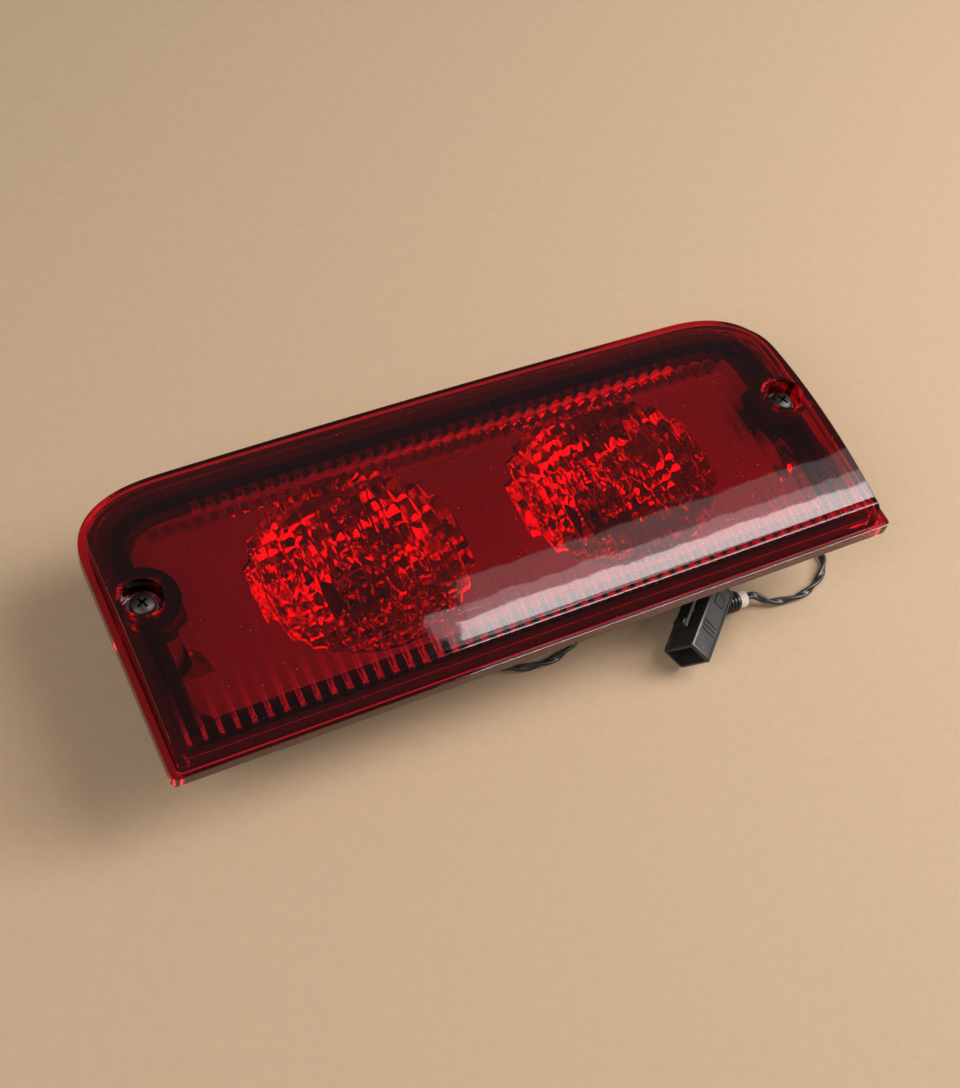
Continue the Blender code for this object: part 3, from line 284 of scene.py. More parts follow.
def place_group(bench: Bench, maker: Callable[[], bpy.types.NodeTree],
                vector: bpy.types.NodeSocket, **values: float) -> bpy.types.Node:
    """Place a shared node group in a material, building it the first time.

    Args:
        bench: the material's bench.
        maker: the function that builds the group.
        vector: the coordinates that it reads.
        values: the group's other inputs, with _ for a space.

    Returns:
        The group node.
    """
    if maker.__name__ not in GROUPS:
        GROUPS[maker.__name__] = maker()
    node = bench.add("Group")
    node.node_tree = GROUPS[maker.__name__]
    bench.join(vector, node.inputs["Vector"])
    for name, value in values.items():
        node.inputs[name.replace("_", " ")].default_value = value
    return node


# ---------------------------------------------------------------- finishes


@dataclass(frozen=True)
class Finish:
    """A moulded, coated or metal surface with its grain, dust and scuffs.

    Lengths are in metres and the grain scale is in cells per metre.
    """

    name: str
    colour: Colour
    slot: str
    tint: Optional[Colour] = None
    roughness: float = 0.45
    rough_swing: float = 0.12
    metallic: float = 0.0
    grain_scale: float = 1500.0
    grain_depth: float = 0.00008
    dust: float = 0.12
    speck: float = 0.1
    dust_colour: Colour = (0.34, 0.3, 0.25)
    scuffs: float = 0.35
    scuff_colour: Colour = (0.09, 0.09, 0.09)
    coat: float = 0.0
    specular: float = 0.5
    sheen: float = 0.0
    transmission: float = 0.0
    ior: float = 1.5

    def build(self) -> bpy.types.Material:
        """Make the material, or return the one already made.

        Returns:
            The material.
        """
        found = bpy.data.materials.get(self.name)
        if found is not None:
            return found
        made = bpy.data.materials.new(self.name)
        made.use_nodes = True
        bench = Bench(made.node_tree)
        shader = made.node_tree.nodes["Principled BSDF"]
        self.set_sockets(shader)
        where = bench.add("TexCoord").outputs["Object"]
        self.wire(bench, shader, where)
        made.diffuse_color = (*self.colour, 1.0)
        return made

    def set_sockets(self, shader: bpy.types.Node) -> None:
        """Set the values that are the same all over the surface.

        Args:
            shader: the material's Principled node.
        """
        shader.inputs["Metallic"].default_value = self.metallic
        shader.inputs["Coat Weight"].default_value = self.coat
        shader.inputs["Coat Roughness"].default_value = 0.06
        shader.inputs["Specular IOR Level"].default_value = self.specular
        shader.inputs["Sheen Weight"].default_value = self.sheen
        shader.inputs["Transmission Weight"].default_value = self.transmission
        shader.inputs["IOR"].default_value = self.ior

    def wire(self, bench: Bench, shader: bpy.types.Node, where: bpy.types.NodeSocket) -> None:
        """Join the surface's patterns to its shader.

        Args:
            bench: the material's bench.
            shader: its Principled node.
            where: the object coordinates.
        """
        grain = place_group(bench, grain_group, where, Scale=self.grain_scale)
        dust = place_group(bench, dust_group, where, Speck_Size=self.speck, Film=self.dust)
        scuff = place_group(bench, scuff_group, where, Amount=self.scuffs)
        tint = self.tint or tuple(min(1.0, c * 1.5 + 0.002) for c in self.colour)
        colour = bench.blend(grain.outputs["Uneven"], self.colour, tint)
        colour = bench.blend(scuff.outputs["Mask"], colour, self.scuff_colour)
        colour = bench.blend(dust.outputs["Mask"], colour, self.dust_colour)
        bench.join(colour, shader.inputs["Base Color"])
        rough = bench.spread(grain.outputs["Uneven"], 0.0, 1.0,
                             max(0.02, self.roughness - self.rough_swing / 2),
                             self.roughness + self.rough_swing / 2)
        dull = bench.sum("MULTIPLY", dust.outputs["Mask"], 0.5)
        bench.join(bench.sum("MINIMUM", bench.sum("ADD", rough, dull), 1.0), shader.inputs["Roughness"])
        bump = bench.add("Bump")
        bump.inputs["Strength"].default_value = 1.0
        bump.inputs["Distance"].default_value = self.grain_depth
        height = bench.sum("ADD", grain.outputs["Height"], scuff.outputs["Height"])
        bench.join(height, bump.inputs["Height"])
        bench.join(bump.outputs["Normal"], shader.inputs["Normal"])


@dataclass(frozen=True)
class RedAcrylic(Finish):
    """The lens's clear red acrylic: glossy, with faint flow waves and a little dust."""

    deep: Colour = (0.55, 0.003, 0.012)
    shadow_pass: float = 0.92

    def wire(self, bench: Bench, shader: bpy.types.Node, where: bpy.types.NodeSocket) -> None:
        """Join the lens's colour drift, dust and flow waves to its shader.

        Args:
            bench: the material's bench.
            shader: its Principled node.
            where: the object coordinates.
        """
        drift = bench.spread(bench.noise(where, 12.0, 3.0), 0.35, 0.65, 0.0, 1.0)
        colour = bench.blend(drift, self.colour, self.deep)
        dust = place_group(bench, dust_group, where, Speck_Size=self.speck, Film=self.dust)
        colour = bench.blend(dust.outputs["Mask"], colour, self.dust_colour)
        bench.join(colour, shader.inputs["Base Color"])
        scuff = place_group(bench, scuff_group, where, Amount=self.scuffs)
        rough = bench.sum("ADD", bench.sum("MULTIPLY", scuff.outputs["Mask"], 0.25),
                          bench.sum("MULTIPLY", dust.outputs["Mask"], 0.3))
        bench.join(bench.sum("ADD", rough, self.roughness), shader.inputs["Roughness"])
        shade = bench.add("LightPath").outputs["Is Shadow Ray"]
        bench.join(bench.sum("SUBTRACT", 1.0, bench.sum("MULTIPLY", shade, self.shadow_pass)),
                   shader.inputs["Alpha"])
        bump = bench.add("Bump")
        bump.inputs["Distance"].default_value = self.grain_depth
        waves = bench.noise(where, self.grain_scale, 2.0)
        bench.join(bench.sum("ADD", waves, scuff.outputs["Height"]), bump.inputs["Height"])
        bench.join(bump.outputs["Normal"], shader.inputs["Normal"])


RED_LENS = RedAcrylic("red_acrylic", (0.66, 0.004, 0.016), "red_lens", roughness=0.035,
                      grain_scale=45.0, grain_depth=0.00012, dust=0.03, speck=0.07, scuffs=0.12,
                      transmission=1.0, ior=1.49, dust_colour=(0.8, 0.25, 0.25))
HOUSING = Finish("textured_black_plastic", (0.007, 0.007, 0.008), "black_plastic", roughness=0.6,
                 grain_scale=2600.0, grain_depth=0.00006, dust=0.025, speck=0.04, specular=0.22,
                 tint=(0.011, 0.011, 0.012), scuffs=0.2)
SMOOTH_BLACK = Finish("smooth_black_plastic", (0.01, 0.011, 0.011), "black_plastic", roughness=0.28,
                      rough_swing=0.1, grain_scale=700.0, grain_depth=0.00002, dust=0.08)
CHROME = Finish("vacuum_chrome", (0.86, 0.85, 0.84), "reflector_chrome", roughness=0.1, rough_swing=0.06,
                metallic=1.0, grain_scale=240.0, grain_depth=0.00004, dust=0.02, speck=0.05,
                scuffs=0.05, tint=(0.74, 0.73, 0.72), dust_colour=(0.3, 0.28, 0.25))
SATIN = Finish("satin_silver", (0.34, 0.33, 0.32), "reflector_chrome", roughness=0.3, rough_swing=0.1,
               metallic=0.8, grain_scale=500.0, grain_depth=0.00005, dust=0.03, speck=0.05,
               scuffs=0.05, tint=(0.26, 0.26, 0.25))
SEALANT = Finish("cured_sealant", (0.002, 0.003, 0.003), "sealant", roughness=0.5, grain_scale=160.0,
                 grain_depth=0.0003, dust=0.0, speck=0.0, scuffs=0.0, specular=0.1,
                 tint=(0.003, 0.004, 0.004))
FOAM = Finish("cell_foam", (0.018, 0.018, 0.019), "foam_rubber", roughness=0.92, rough_swing=0.08,
              grain_scale=1900.0, grain_depth=0.0005, scuffs=0.0, specular=0.2)
RUBBER = Finish("moulded_rubber", (0.02, 0.02, 0.021), "black_rubber", roughness=0.72, grain_scale=1300.0,
                grain_depth=0.00008, scuffs=0.1, specular=0.35)
BLACK_STEEL = Finish("blackened_steel", (0.02, 0.02, 0.022), "black_steel", roughness=0.4,
                     metallic=1.0, tint=(0.04, 0.039, 0.038), grain_scale=900.0, grain_depth=0.00003,
                     scuff_colour=(0.3, 0.3, 0.3))
ZINC = Finish("zinc_plate", (0.6, 0.6, 0.57), "zinc_steel", roughness=0.34, metallic=1.0,
              tint=(0.7, 0.68, 0.6), grain_scale=600.0, grain_depth=0.00003, dust=0.04)
TUNGSTEN = Finish("drawn_tungsten", (0.28, 0.27, 0.27), "tungsten", roughness=0.42, metallic=1.0,
                  grain_scale=3000.0, grain_depth=0.00001, dust=0.0, speck=0.0)
BRASS = Finish("spring_brass", (0.74, 0.52, 0.22), "brass", roughness=0.3, metallic=1.0,
               tint=(0.6, 0.38, 0.16), grain_scale=700.0, grain_depth=0.00003, dust=0.02)
SILICONE = Finish("pale_silicone_rubber", (0.72, 0.66, 0.58), "pale_silicone", roughness=0.5,
                  tint=(0.62, 0.55, 0.47), grain_scale=800.0, grain_depth=0.00006, scuffs=0.0)
CORD_SLEEVE = Finish("cord_insulation", (0.009, 0.009, 0.01), "cord_sleeve", roughness=0.36,
                     grain_scale=900.0, grain_depth=0.00004, dust=0.1)
BULB_GLASS = Finish("bulb_glass", (0.97, 0.98, 0.98), "clear_glass", roughness=0.04, rough_swing=0.03,
                    grain_scale=120.0, grain_depth=0.00002, dust=0.0, speck=0.0, scuffs=0.0,
                    tint=(0.95, 0.97, 0.97), transmission=1.0, ior=1.47)


# ---------------------------------------------------------------- mesh helpers


@dataclass(frozen=True)
class LampShape:
    """The lens outline and crown that several pieces follow, in millimetres."""

    width: float = 254.0
    height: float = 101.5
    top_bow: float = 1.5
    top_corner_x: float = 34.0
    top_corner_y: float = 24.5
    corner_power: float = 2.5
    foot_corner: float = 2.0
    rim_top: float = 45.0
    rim_bottom: float = 40.5
    wall: float = 2.4
    ledge: float = 2.8
    crease_inset: float = 6.5
    crease_rise: float = 4.5
    top_inset: float = 3.5
    top_rise: float = 1.0
    bulge: float = 5.0
    screw_x: float = 115.5
    screw_y: float = 5.3
    lamp_x: float = 46.0

    def outline(self, inset: float, foot_corner: Optional[float] = None, steps: int = 20) -> list[Point]:
        """The lens outline moved inward.

        Args:
            inset: how far inward.
            foot_corner: the lower corners' radius.
            steps: points in each upper corner.

        Returns:
            Points in order round the lens, the same number at every inset.
        """
        corner = self.foot_corner if foot_corner is None else foot_corner
        half = self.width / 2 - inset
        foot = -self.height / 2 + inset
        reach_x = max(self.top_corner_x - inset, 10.0)
        reach_y = max(self.top_corner_y - inset * 0.95, 8.0)
        top = self.height / 2 - self.top_bow - inset
        right = []
        for angle in (math.radians(-90 + 90 * n / 4) for n in range(5)):
            right.append((half - corner + corner * math.cos(angle), foot + corner + corner * math.sin(angle)))
        power = 2 / self.corner_power
        for angle in (math.radians(90 * n / steps) for n in range(steps + 1)):
            right.append((half - reach_x + reach_x * max(0.0, math.cos(angle)) ** power,
                          top - reach_y + reach_y * math.sin(angle) ** power))
        right += [((half - reach_x) * (1 - n / 8), top) for n in range(1, 9)]
        bowed = [(x, y + self.bow(x, y)) for x, y in right]
        return bowed + [(-x, y) for x, y in reversed(bowed) if abs(x) > 1e-9]

    def bow(self, x: float, y: float) -> float:
        """How far the bowed top edge lifts a point."""
        share = max(0.0, (y + self.height / 2) / self.height)
        return self.top_bow * (1 - (2 * x / self.width) ** 2) * share

    def crown(self, y: float) -> float:
        """The lens face's height at y: the lower strip, then the crown above the crease."""
        foot = -self.height / 2 + self.ledge
        crease = -self.height / 2 + self.crease_inset
        top = self.height / 2 - self.top_bow - self.top_inset
        if y < crease:
            return self.rim_top + self.crease_rise * (y - foot) / (crease - foot)
        share = (y - crease) / (top - crease)
        curve = 4 * self.bulge * share * (1 - share)
        return self.rim_top + self.crease_rise + (self.top_rise - self.crease_rise) * share + curve


SHAPE = LampShape()


Height = float | Callable[[float], float]


def ring(bm: bmesh.types.BMesh, points: Iterable[Point], height: float) -> list[bmesh.types.BMVert]:
    """A closed loop of edges along an outline.

    Args:
        bm: the mesh to add it to.
        points: the outline.
        height: its height.

    Returns:
        The loop's vertices in order.
    """
    verts = [bm.verts.new((x, y, height)) for x, y in points]
    for pair in zip(verts, verts[1:] + verts[:1]):
        bm.edges.new(pair)
    return verts


def climb(bm: bmesh.types.BMesh, verts: Sequence[bmesh.types.BMVert], points: Iterable[Point],
          height: Height) -> list[bmesh.types.BMVert]:
    """Extrude a loop onto another outline with as many points.

    Args:
        bm: the mesh.
        verts: the loop's vertices in order.
        points: the next outline.
        height: its height, or the height as a function of y.

    Returns:
        The new loop's vertices in order.
    """
    edges = [bm.edges.get(pair) for pair in zip(verts, [*verts[1:], verts[0]])]
    made = bmesh.ops.extrude_edge_only(bm, edges=edges)["geom"]
    fresh = {g for g in made if isinstance(g, bmesh.types.BMVert)}
    loop = []
    for old, (x, y) in zip(verts, points):
        new = next(e.other_vert(old) for e in old.link_edges if e.other_vert(old) in fresh)
        new.co = (x, y, height(y) if callable(height) else height)
        loop.append(new)
    return loop


def close(bm: bmesh.types.BMesh, verts: Sequence[bmesh.types.BMVert]) -> bmesh.types.BMFace:
    """Fill a loop with one face."""
    edges = [bm.edges.get(pair) for pair in zip(verts, [*verts[1:], verts[0]])]
    return bmesh.ops.contextual_create(bm, geom=edges)["faces"][0]


def prism(points: Sequence[Point], low: float, high: float) -> bmesh.types.BMesh:
    """A straight-sided solid on an outline.

    Args:
        points: the outline.
        low: its lower height.
        high: its upper height.

    Returns:
        The closed mesh, in millimetres.
    """
    bm = bmesh.new()
    lower = ring(bm, points, low)
    upper = climb(bm, lower, points, high)
    close(bm, lower)
    close(bm, upper)
    bmesh.ops.recalc_face_normals(bm, faces=bm.faces)
    return bm


def block(low: Sequence[float], high: Sequence[float], bevel: float = 0.0, segments: int = 2,
          ) -> bmesh.types.BMesh:
    """A box with rounded edges.

    Args:
        low: its lowest corner.
        high: its highest corner.
        bevel: the edges' radius.
        segments: facets in each edge.

    Returns:
        The mesh, in millimetres.
    """
    bm = bmesh.new()
    middle = (Vector(low) + Vector(high)) / 2
    size = Vector(high) - Vector(low)
    bmesh.ops.create_cube(bm, size=1.0, matrix=Matrix.Translation(middle) @ Matrix.Diagonal((*size, 1.0)))
    if bevel > 0:
        bmesh.ops.bevel(bm, geom=bm.edges[:], offset=bevel, segments=segments, profile=0.5,
                        affect="EDGES", material=-1)
    return bm


def turned(profile: Sequence[Point], steps: int = 48, centre: Point = (0.0, 0.0)) -> bmesh.types.BMesh:
    """A profile of (radius, height) spun round an upright axis.

    Args:
        profile: from one end of the axis to the other, or a closed ring's section.
        steps: facets round the axis.
        centre: the axis's place.

    Returns:
        The mesh with its seam and poles closed, in millimetres.
    """
    bm = bmesh.new()
    verts = [bm.verts.new((radius, 0.0, height)) for radius, height in profile]
    edges = [bm.edges.new(pair) for pair in zip(verts, verts[1:])]
    bmesh.ops.spin(bm, geom=verts + edges, cent=(0, 0, 0), axis=(0, 0, 1), angle=math.tau, steps=steps,
                   use_merge=True)
    bmesh.ops.remove_doubles(bm, verts=bm.verts[:], dist=1e-4)
    bmesh.ops.recalc_face_normals(bm, faces=bm.faces)
    bmesh.ops.translate(bm, verts=bm.verts[:], vec=(centre[0], centre[1], 0.0))
    return bm


def merged(*parts: bmesh.types.BMesh) -> bmesh.types.BMesh:
    """Several meshes in one, freeing the others."""
    whole = bmesh.new()
    for part in parts:
        holder = bpy.data.meshes.new("holder")
        part.to_mesh(holder)
        part.free()
        whole.from_mesh(holder)
        bpy.data.meshes.remove(holder)
    return whole


def piece(name: str, bm: bmesh.types.BMesh, finish: Optional[Finish], smooth_angle: float = 32.0,
          place: Matrix = Matrix.Identity(4)) -> bpy.types.Object:
    """Make an object of a mesh in millimetres, in its place and at the origin.

    Args:
        name: the object's name.
        bm: its mesh, which is freed.
        finish: its finish.
        smooth_angle: edges sharper than this many degrees stay sharp; 0 keeps every facet.
        place: a turn and a move in millimetres.

    Returns:
        The object.
    """
    mesh = bpy.data.meshes.new(name)
    bm.to_mesh(mesh)
    bm.free()
    mesh.transform(Matrix.Scale(MM, 4) @ place)
    if smooth_angle > 0:
        mesh.shade_smooth()
        mesh.set_sharp_from_angle(angle=math.radians(smooth_angle))
    obj = bpy.data.objects.new(name, mesh)
    bpy.context.scene.collection.objects.link(obj)
    if finish is not None:
        mesh.materials.append(finish.build())
    return obj


def carve(target: bpy.types.Object, cuts: Sequence[tuple[str, bmesh.types.BMesh]],
          smooth_angle: float = 32.0) -> bpy.types.Object:
    """Join, cut or intersect an object with other meshes, and keep the result as its mesh.

    Args:
        target: the object.
        cuts: operation and mesh in millimetres for each tool.
        smooth_angle: edges sharper than this many degrees stay sharp.

    Returns:
        The target.
    """
    tools = []
    for number, (operation, bm) in enumerate(cuts):
        tool = piece("tool_%d" % number, bm, None, 0.0)
        modifier = target.modifiers.new("cut_%d" % number, "BOOLEAN")
        modifier.operation = operation
        modifier.solver = "EXACT"
        modifier.object = tool
        tools.append(tool)
    bpy.context.view_layer.update()
    shown = target.evaluated_get(bpy.context.evaluated_depsgraph_get())
    made = bpy.data.meshes.new_from_object(shown)
    old = target.data
    target.modifiers.clear()
    target.data = made
    bpy.data.meshes.remove(old)
    for tool in tools:
        mesh = tool.data
        bpy.data.objects.remove(tool, do_unlink=True)
        bpy.data.meshes.remove(mesh)
    if smooth_angle > 0:
        made.shade_smooth()
        made.set_sharp_from_angle(angle=math.radians(smooth_angle))
    return target


def dress(node: str, finish: Finish) -> None:
    """Give a CAD node's object its finish."""
    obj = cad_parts[node]
    for place in obj.material_slots:
        place.material = finish.build()
    LOG.info("dressed %s in %s", node, finish.name)


def settle(obj: bpy.types.Object, body: str, *nodes: str) -> bpy.types.Object:
    """Let a new piece ride on a body and stand for CAD nodes.

    Args:
        obj: the piece.
        body: the body's name.
        nodes: the CAD nodes that it replaces.

    Returns:
        The piece.
    """
    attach(obj, body)
    if nodes:
        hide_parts(*nodes)
    LOG.info("built %s on %s, %d faces", obj.name, body, len(obj.data.polygons))
    return obj


# ---------------------------------------------------------------- lens


@dataclass
class LensUnit:
    """The fluted red lens and the bead that seals it."""

    shape: LampShape = SHAPE
    flute_pitch: float = 5.0
    flute_depth: float = 0.34
    flute_facets: int = 6
    strip_step: float = 3.0
    edge_r: float = 0.5
    crease_r: float = 0.9
    well_r: float = 6.4
    well_wall: float = 2.0
    well_floor: Point = (42.6, 44.6)
    hole_r: float = 3.9

    def cap(self, bm: bmesh.types.BMesh, loop: Sequence[bmesh.types.BMVert], drop: float,
            fluted: bool) -> None:
        """Close a loop with the crowned face, cut into strips that follow the crown.

        Args:
            bm: the mesh.
            loop: the loop's vertices in order.
            drop: how far below the outer face it lies.
            fluted: whether flutes run across it.
        """
        cap_faces = [close(bm, loop)]
        planes = [(Vector((0, -self.shape.height / 2 + self.shape.crease_inset, 0)), Vector((0, 1, 0)))]
        count = int(self.shape.height / self.strip_step)
        planes += [(Vector((0, -self.shape.height / 2 + self.shape.crease_inset + n * self.strip_step, 0)),
                    Vector((0, 1, 0))) for n in range(1, count)]
        if fluted:
            step = self.flute_pitch / self.flute_facets
            reach = int(self.shape.width / 2 / step)
            planes += [(Vector((n * step, 0, 0)), Vector((1, 0, 0))) for n in range(-reach, reach + 1)]
        for point, normal in planes:
            geom = list({e for f in cap_faces for e in (f, *f.edges, *f.verts)})
            cut = bmesh.ops.bisect_plane(bm, geom=geom, dist=1e-5, plane_co=point, plane_no=normal)
            cap_faces = [g for g in cut["geom"] if isinstance(g, bmesh.types.BMFace)]
        for vert in {v for f in cap_faces for v in f.verts}:
            groove = 0.0
            if fluted:
                share = (vert.co.x / self.flute_pitch) % 1.0
                groove = self.flute_depth * (2 * share - 1) ** 2
            vert.co.z = self.shape.crown(vert.co.y) - drop + groove

    def build_lens(self) -> bpy.types.Object:
        """Build the lens: rounded outer skin, fluted inner skin and a well for each screw.

        Returns:
            The lens.
        """
        shape = self.shape
        bm = bmesh.new()
        foot = ring(bm, shape.outline(0.0), shape.rim_bottom)
        rim = climb(bm, foot, shape.outline(0.0), shape.rim_top)
        ledge = climb(bm, rim, shape.outline(shape.ledge), shape.rim_top)
        edge = climb(bm, ledge, shape.outline(shape.ledge), lambda y: shape.crown(y) + 0.02)
        self.cap(bm, edge, 0.0, False)
        upper = [v for v in bm.verts if v.co.z > shape.rim_bottom + 1.0]
        bmesh.ops.remove_doubles(bm, verts=upper, dist=0.03)
        bmesh.ops.recalc_face_normals(bm, faces=bm.faces)
        self.round_edges(bm)
        inset = shape.wall
        inner = climb(bm, foot, shape.outline(inset), shape.rim_bottom)
        inner = climb(bm, inner, shape.outline(inset), shape.rim_top - inset)
        inner = climb(bm, inner, shape.outline(shape.ledge + inset), shape.rim_top - inset)
        inner = climb(bm, inner, shape.outline(shape.ledge + inset), lambda y: shape.crown(y) - inset)
        self.cap(bm, inner, inset, True)
        bmesh.ops.recalc_face_normals(bm, faces=bm.faces)
        lens = piece("lens_fluted", bm, RED_LENS)
        low, high = self.well_floor
        columns = merged(*(self.drum(side, self.well_r + self.well_wall, low, 50.0) for side in Side))
        pockets = merged(*(self.drum(side, self.well_r, high, 62.0) for side in Side))
        holes = merged(*(self.drum(side, self.hole_r, low - 2.0, high + 1.0) for side in Side))
        carve(lens, [("UNION", columns), ("DIFFERENCE", pockets), ("DIFFERENCE", holes)])
        faces = lens.modifiers.new("faces", "WEIGHTED_NORMAL")
        faces.keep_sharp = True
        return settle(lens, "lamp", "lens")

    def drum(self, side: Side, radius: float, low: float, high: float) -> bmesh.types.BMesh:
        """An upright cylinder on a screw's axis.

        Args:
            side: which screw.
            radius: its radius.
            low: its lower height.
            high: its upper height.

        Returns:
            The mesh, in millimetres.
        """
        return turned([(0, low), (radius, low), (radius, high), (0, high)], 64,
                      (side.value * self.shape.screw_x, self.shape.screw_y))

    def round_edges(self, bm: bmesh.types.BMesh) -> None:
        """Round the rim, the face's edge and the crease.

        Args:
            bm: the outer skin.
        """
        crease = -self.shape.height / 2 + self.shape.crease_inset
        on_crease = []
        sharp = []
        for edge in bm.edges:
            if len(edge.link_faces) != 2:
                continue
            along = all(abs(v.co.y - crease) < 0.05 for v in edge.verts)
            if along:
                on_crease.append(edge)
            elif edge.calc_face_angle() > math.radians(40) and edge.is_convex:
                sharp.append(edge)
        bmesh.ops.bevel(bm, geom=on_crease, offset=self.crease_r, segments=3, profile=0.5,
                        affect="EDGES", material=-1)
        sharp = [e for e in sharp if e.is_valid]
        bmesh.ops.bevel(bm, geom=sharp, offset=self.edge_r, segments=2, profile=0.5,
                        affect="EDGES", material=-1)

    def build(self) -> None:
        """Build the lens and dress its bead."""
        self.build_lens()
        dress("seal_bead", SEALANT)


# ---------------------------------------------------------------- reflector


@dataclass
class ReflectorUnit:
    """The chromed reflector: two facet-cut bowls in a stepped plate with corner gussets."""

    shape: LampShape = SHAPE
    inset: float = 15.7
    top: float = 41.0
    thickness: float = 1.4
    bowl_r: float = 32.5
    bowl_stretch: float = 1.12
    hole_r: float = 9.7
    floor: float = 22.0
    rings: int = 7
    sectors: int = 28
    facet_pillow: float = 0.9
    facet_tilt: float = 0.55
    post_clear: float = 12.6
    step_rows: Sequence[tuple[float, float, float]] = ((27.4, 5.2, 1.6), (33.9, 3.0, 3.2))
    step_pitch: float = 5.0
    gusset: Point = (107.0, -14.7)
    gusset_rise: float = 3.0
    seed: int = 11

    def bowl(self, side: Side) -> bmesh.types.BMesh:
        """One bowl, spun as a parabola and cut into tilted pillow facets.

        Args:
            side: which end it is at.

        Returns:
            The mesh, in millimetres.
        """
        chance = random.Random(self.seed + side.value)
        profile = []
        for n in range(self.rings + 1):
            radius = self.hole_r + (self.bowl_r - self.hole_r) * n / self.rings
            rise = (radius ** 2 - self.hole_r ** 2) / (self.bowl_r ** 2 - self.hole_r ** 2)
            profile.append((radius, self.floor + (self.top - self.floor) * rise))
        bm = turned(profile, self.sectors)
        for vert in bm.verts:
            radius = math.hypot(vert.co.x, vert.co.y)
            if self.hole_r + 0.5 < radius < self.bowl_r - 0.5:
                turn = chance.uniform(-0.05, 0.05)
                vert.co = Matrix.Rotation(turn, 3, "Z") @ vert.co
                vert.co.z += chance.uniform(-self.facet_tilt, self.facet_tilt)
        inside = [f for f in bm.faces if f.calc_center_median().z > self.floor + 0.3]
        bmesh.ops.poke(bm, faces=inside, offset=0.0, center_mode="MEAN")
        centres = [v for v in bm.verts if len(v.link_faces) == 4 and v.link_edges[0].other_vert(v)
                   and all(len(f.verts) == 3 for f in v.link_faces)]
        for vert in centres:
            vert.co += vert.normal * self.facet_pillow * chance.uniform(0.3, 1.0)
        if any(f.normal.z < 0 for f in list(bm.faces)[:10]):
            bmesh.ops.reverse_faces(bm, faces=bm.faces)
        bmesh.ops.scale(bm, vec=(self.bowl_stretch, 1.0, 1.0), verts=bm.verts[:])
        bmesh.ops.translate(bm, vec=(side.value * self.shape.lamp_x, 0.0, 0.0), verts=bm.verts[:])
        return bm

    def build_plate(self) -> bpy.types.Object:
        """The plate round the bowls, cut clear of the screw posts.

        Returns:
            The plate.
        """
        plate = piece("reflector_plate", prism(self.shape.outline(self.inset, 4.0), self.top - self.thickness,
                                               self.top), SATIN)
        cuts = []
        for side in Side:
            hole = turned([(0, self.top - 9), (self.bowl_r, self.top - 9), (self.bowl_r, self.top + 9),
                           (0, self.top + 9)], self.sectors * 2)
            bmesh.ops.scale(hole, vec=(self.bowl_stretch, 1.0, 1.0), verts=hole.verts[:])
            bmesh.ops.translate(hole, vec=(side.value * self.shape.lamp_x, 0.0, 0.0), verts=hole.verts[:])
            cuts.append(hole)
            cuts.append(turned([(0, self.top - 8), (self.post_clear, self.top - 8),
                                (self.post_clear, self.top + 8), (0, self.top + 8)], 64,
                               (side.value * self.shape.screw_x, self.shape.screw_y)))
        carve(plate, [("DIFFERENCE", merged(*cuts))])
        return settle(plate, "lamp", "reflector")

    def build_bowls(self) -> None:
        """The two bowls."""
        for side in Side:
            bowl = piece("bowl_" + side.word, self.bowl(side), CHROME, 0.0)
            thick = bowl.modifiers.new("wall", "SOLIDIFY")
            thick.thickness = 0.9 * MM
            thick.offset = -1.0
            settle(bowl, "lamp")

    def build_steps(self) -> None:
        """The two rows of raised squares along the top of the plate."""
        squares = []
        for y, depth, rise in self.step_rows:
            half = self.shape.width / 2 - self.inset - 6.0
            count = int(2 * half / self.step_pitch)
            for n in range(count):
                low_x = -half + n * self.step_pitch + 0.35
                in_corner = abs(low_x + 2.0) > 92.0 and y > 30.0
                near_post = abs(abs(low_x + 2.0) - self.shape.screw_x) < 15.0 and y < 22.0
                if in_corner or near_post:
                    continue
                square = block((low_x, y, self.top - 0.5), (low_x + self.step_pitch - 0.7, y + depth,
                                                            self.top + rise))
                high = [v for v in square.verts if v.co.z > self.top]
                middle = Vector((low_x + self.step_pitch / 2 - 0.35, y + depth / 2, self.top + rise))
                for vert in high:
                    vert.co = middle + (vert.co - middle) * 0.62
                squares.append(square)
        settle(piece("reflector_steps", merged(*squares), CHROME, 0.0), "lamp")

    def build_gussets(self) -> None:
        """The two cut corner gussets, each a low pyramid of facets."""
        parts = []
        for side in Side:
            x, y = side.value * self.gusset[0], self.gusset[1]
            corners = [(x - 6.0, y - 6.0), (x + 6.0, y - 6.0), (x + side.value * 1.0, y + 7.0)]
            bm = prism(corners, self.top - 0.5, self.top + 0.8)
            top = max(bm.faces, key=lambda f: f.calc_center_median().z)
            made = bmesh.ops.poke(bm, faces=[top], offset=self.gusset_rise - 0.8, center_mode="MEAN")
            bmesh.ops.subdivide_edges(bm, edges=list(made["verts"][0].link_edges), cuts=1)
            parts.append(bm)
        settle(piece("reflector_gussets", merged(*parts), CHROME, 0.0), "lamp")

    def build(self) -> None:
        """Build every part of the reflector."""
        self.build_plate()
        self.build_bowls()
        self.build_steps()
        self.build_gussets()


# ---------------------------------------------------------------- housing, screws, bulbs


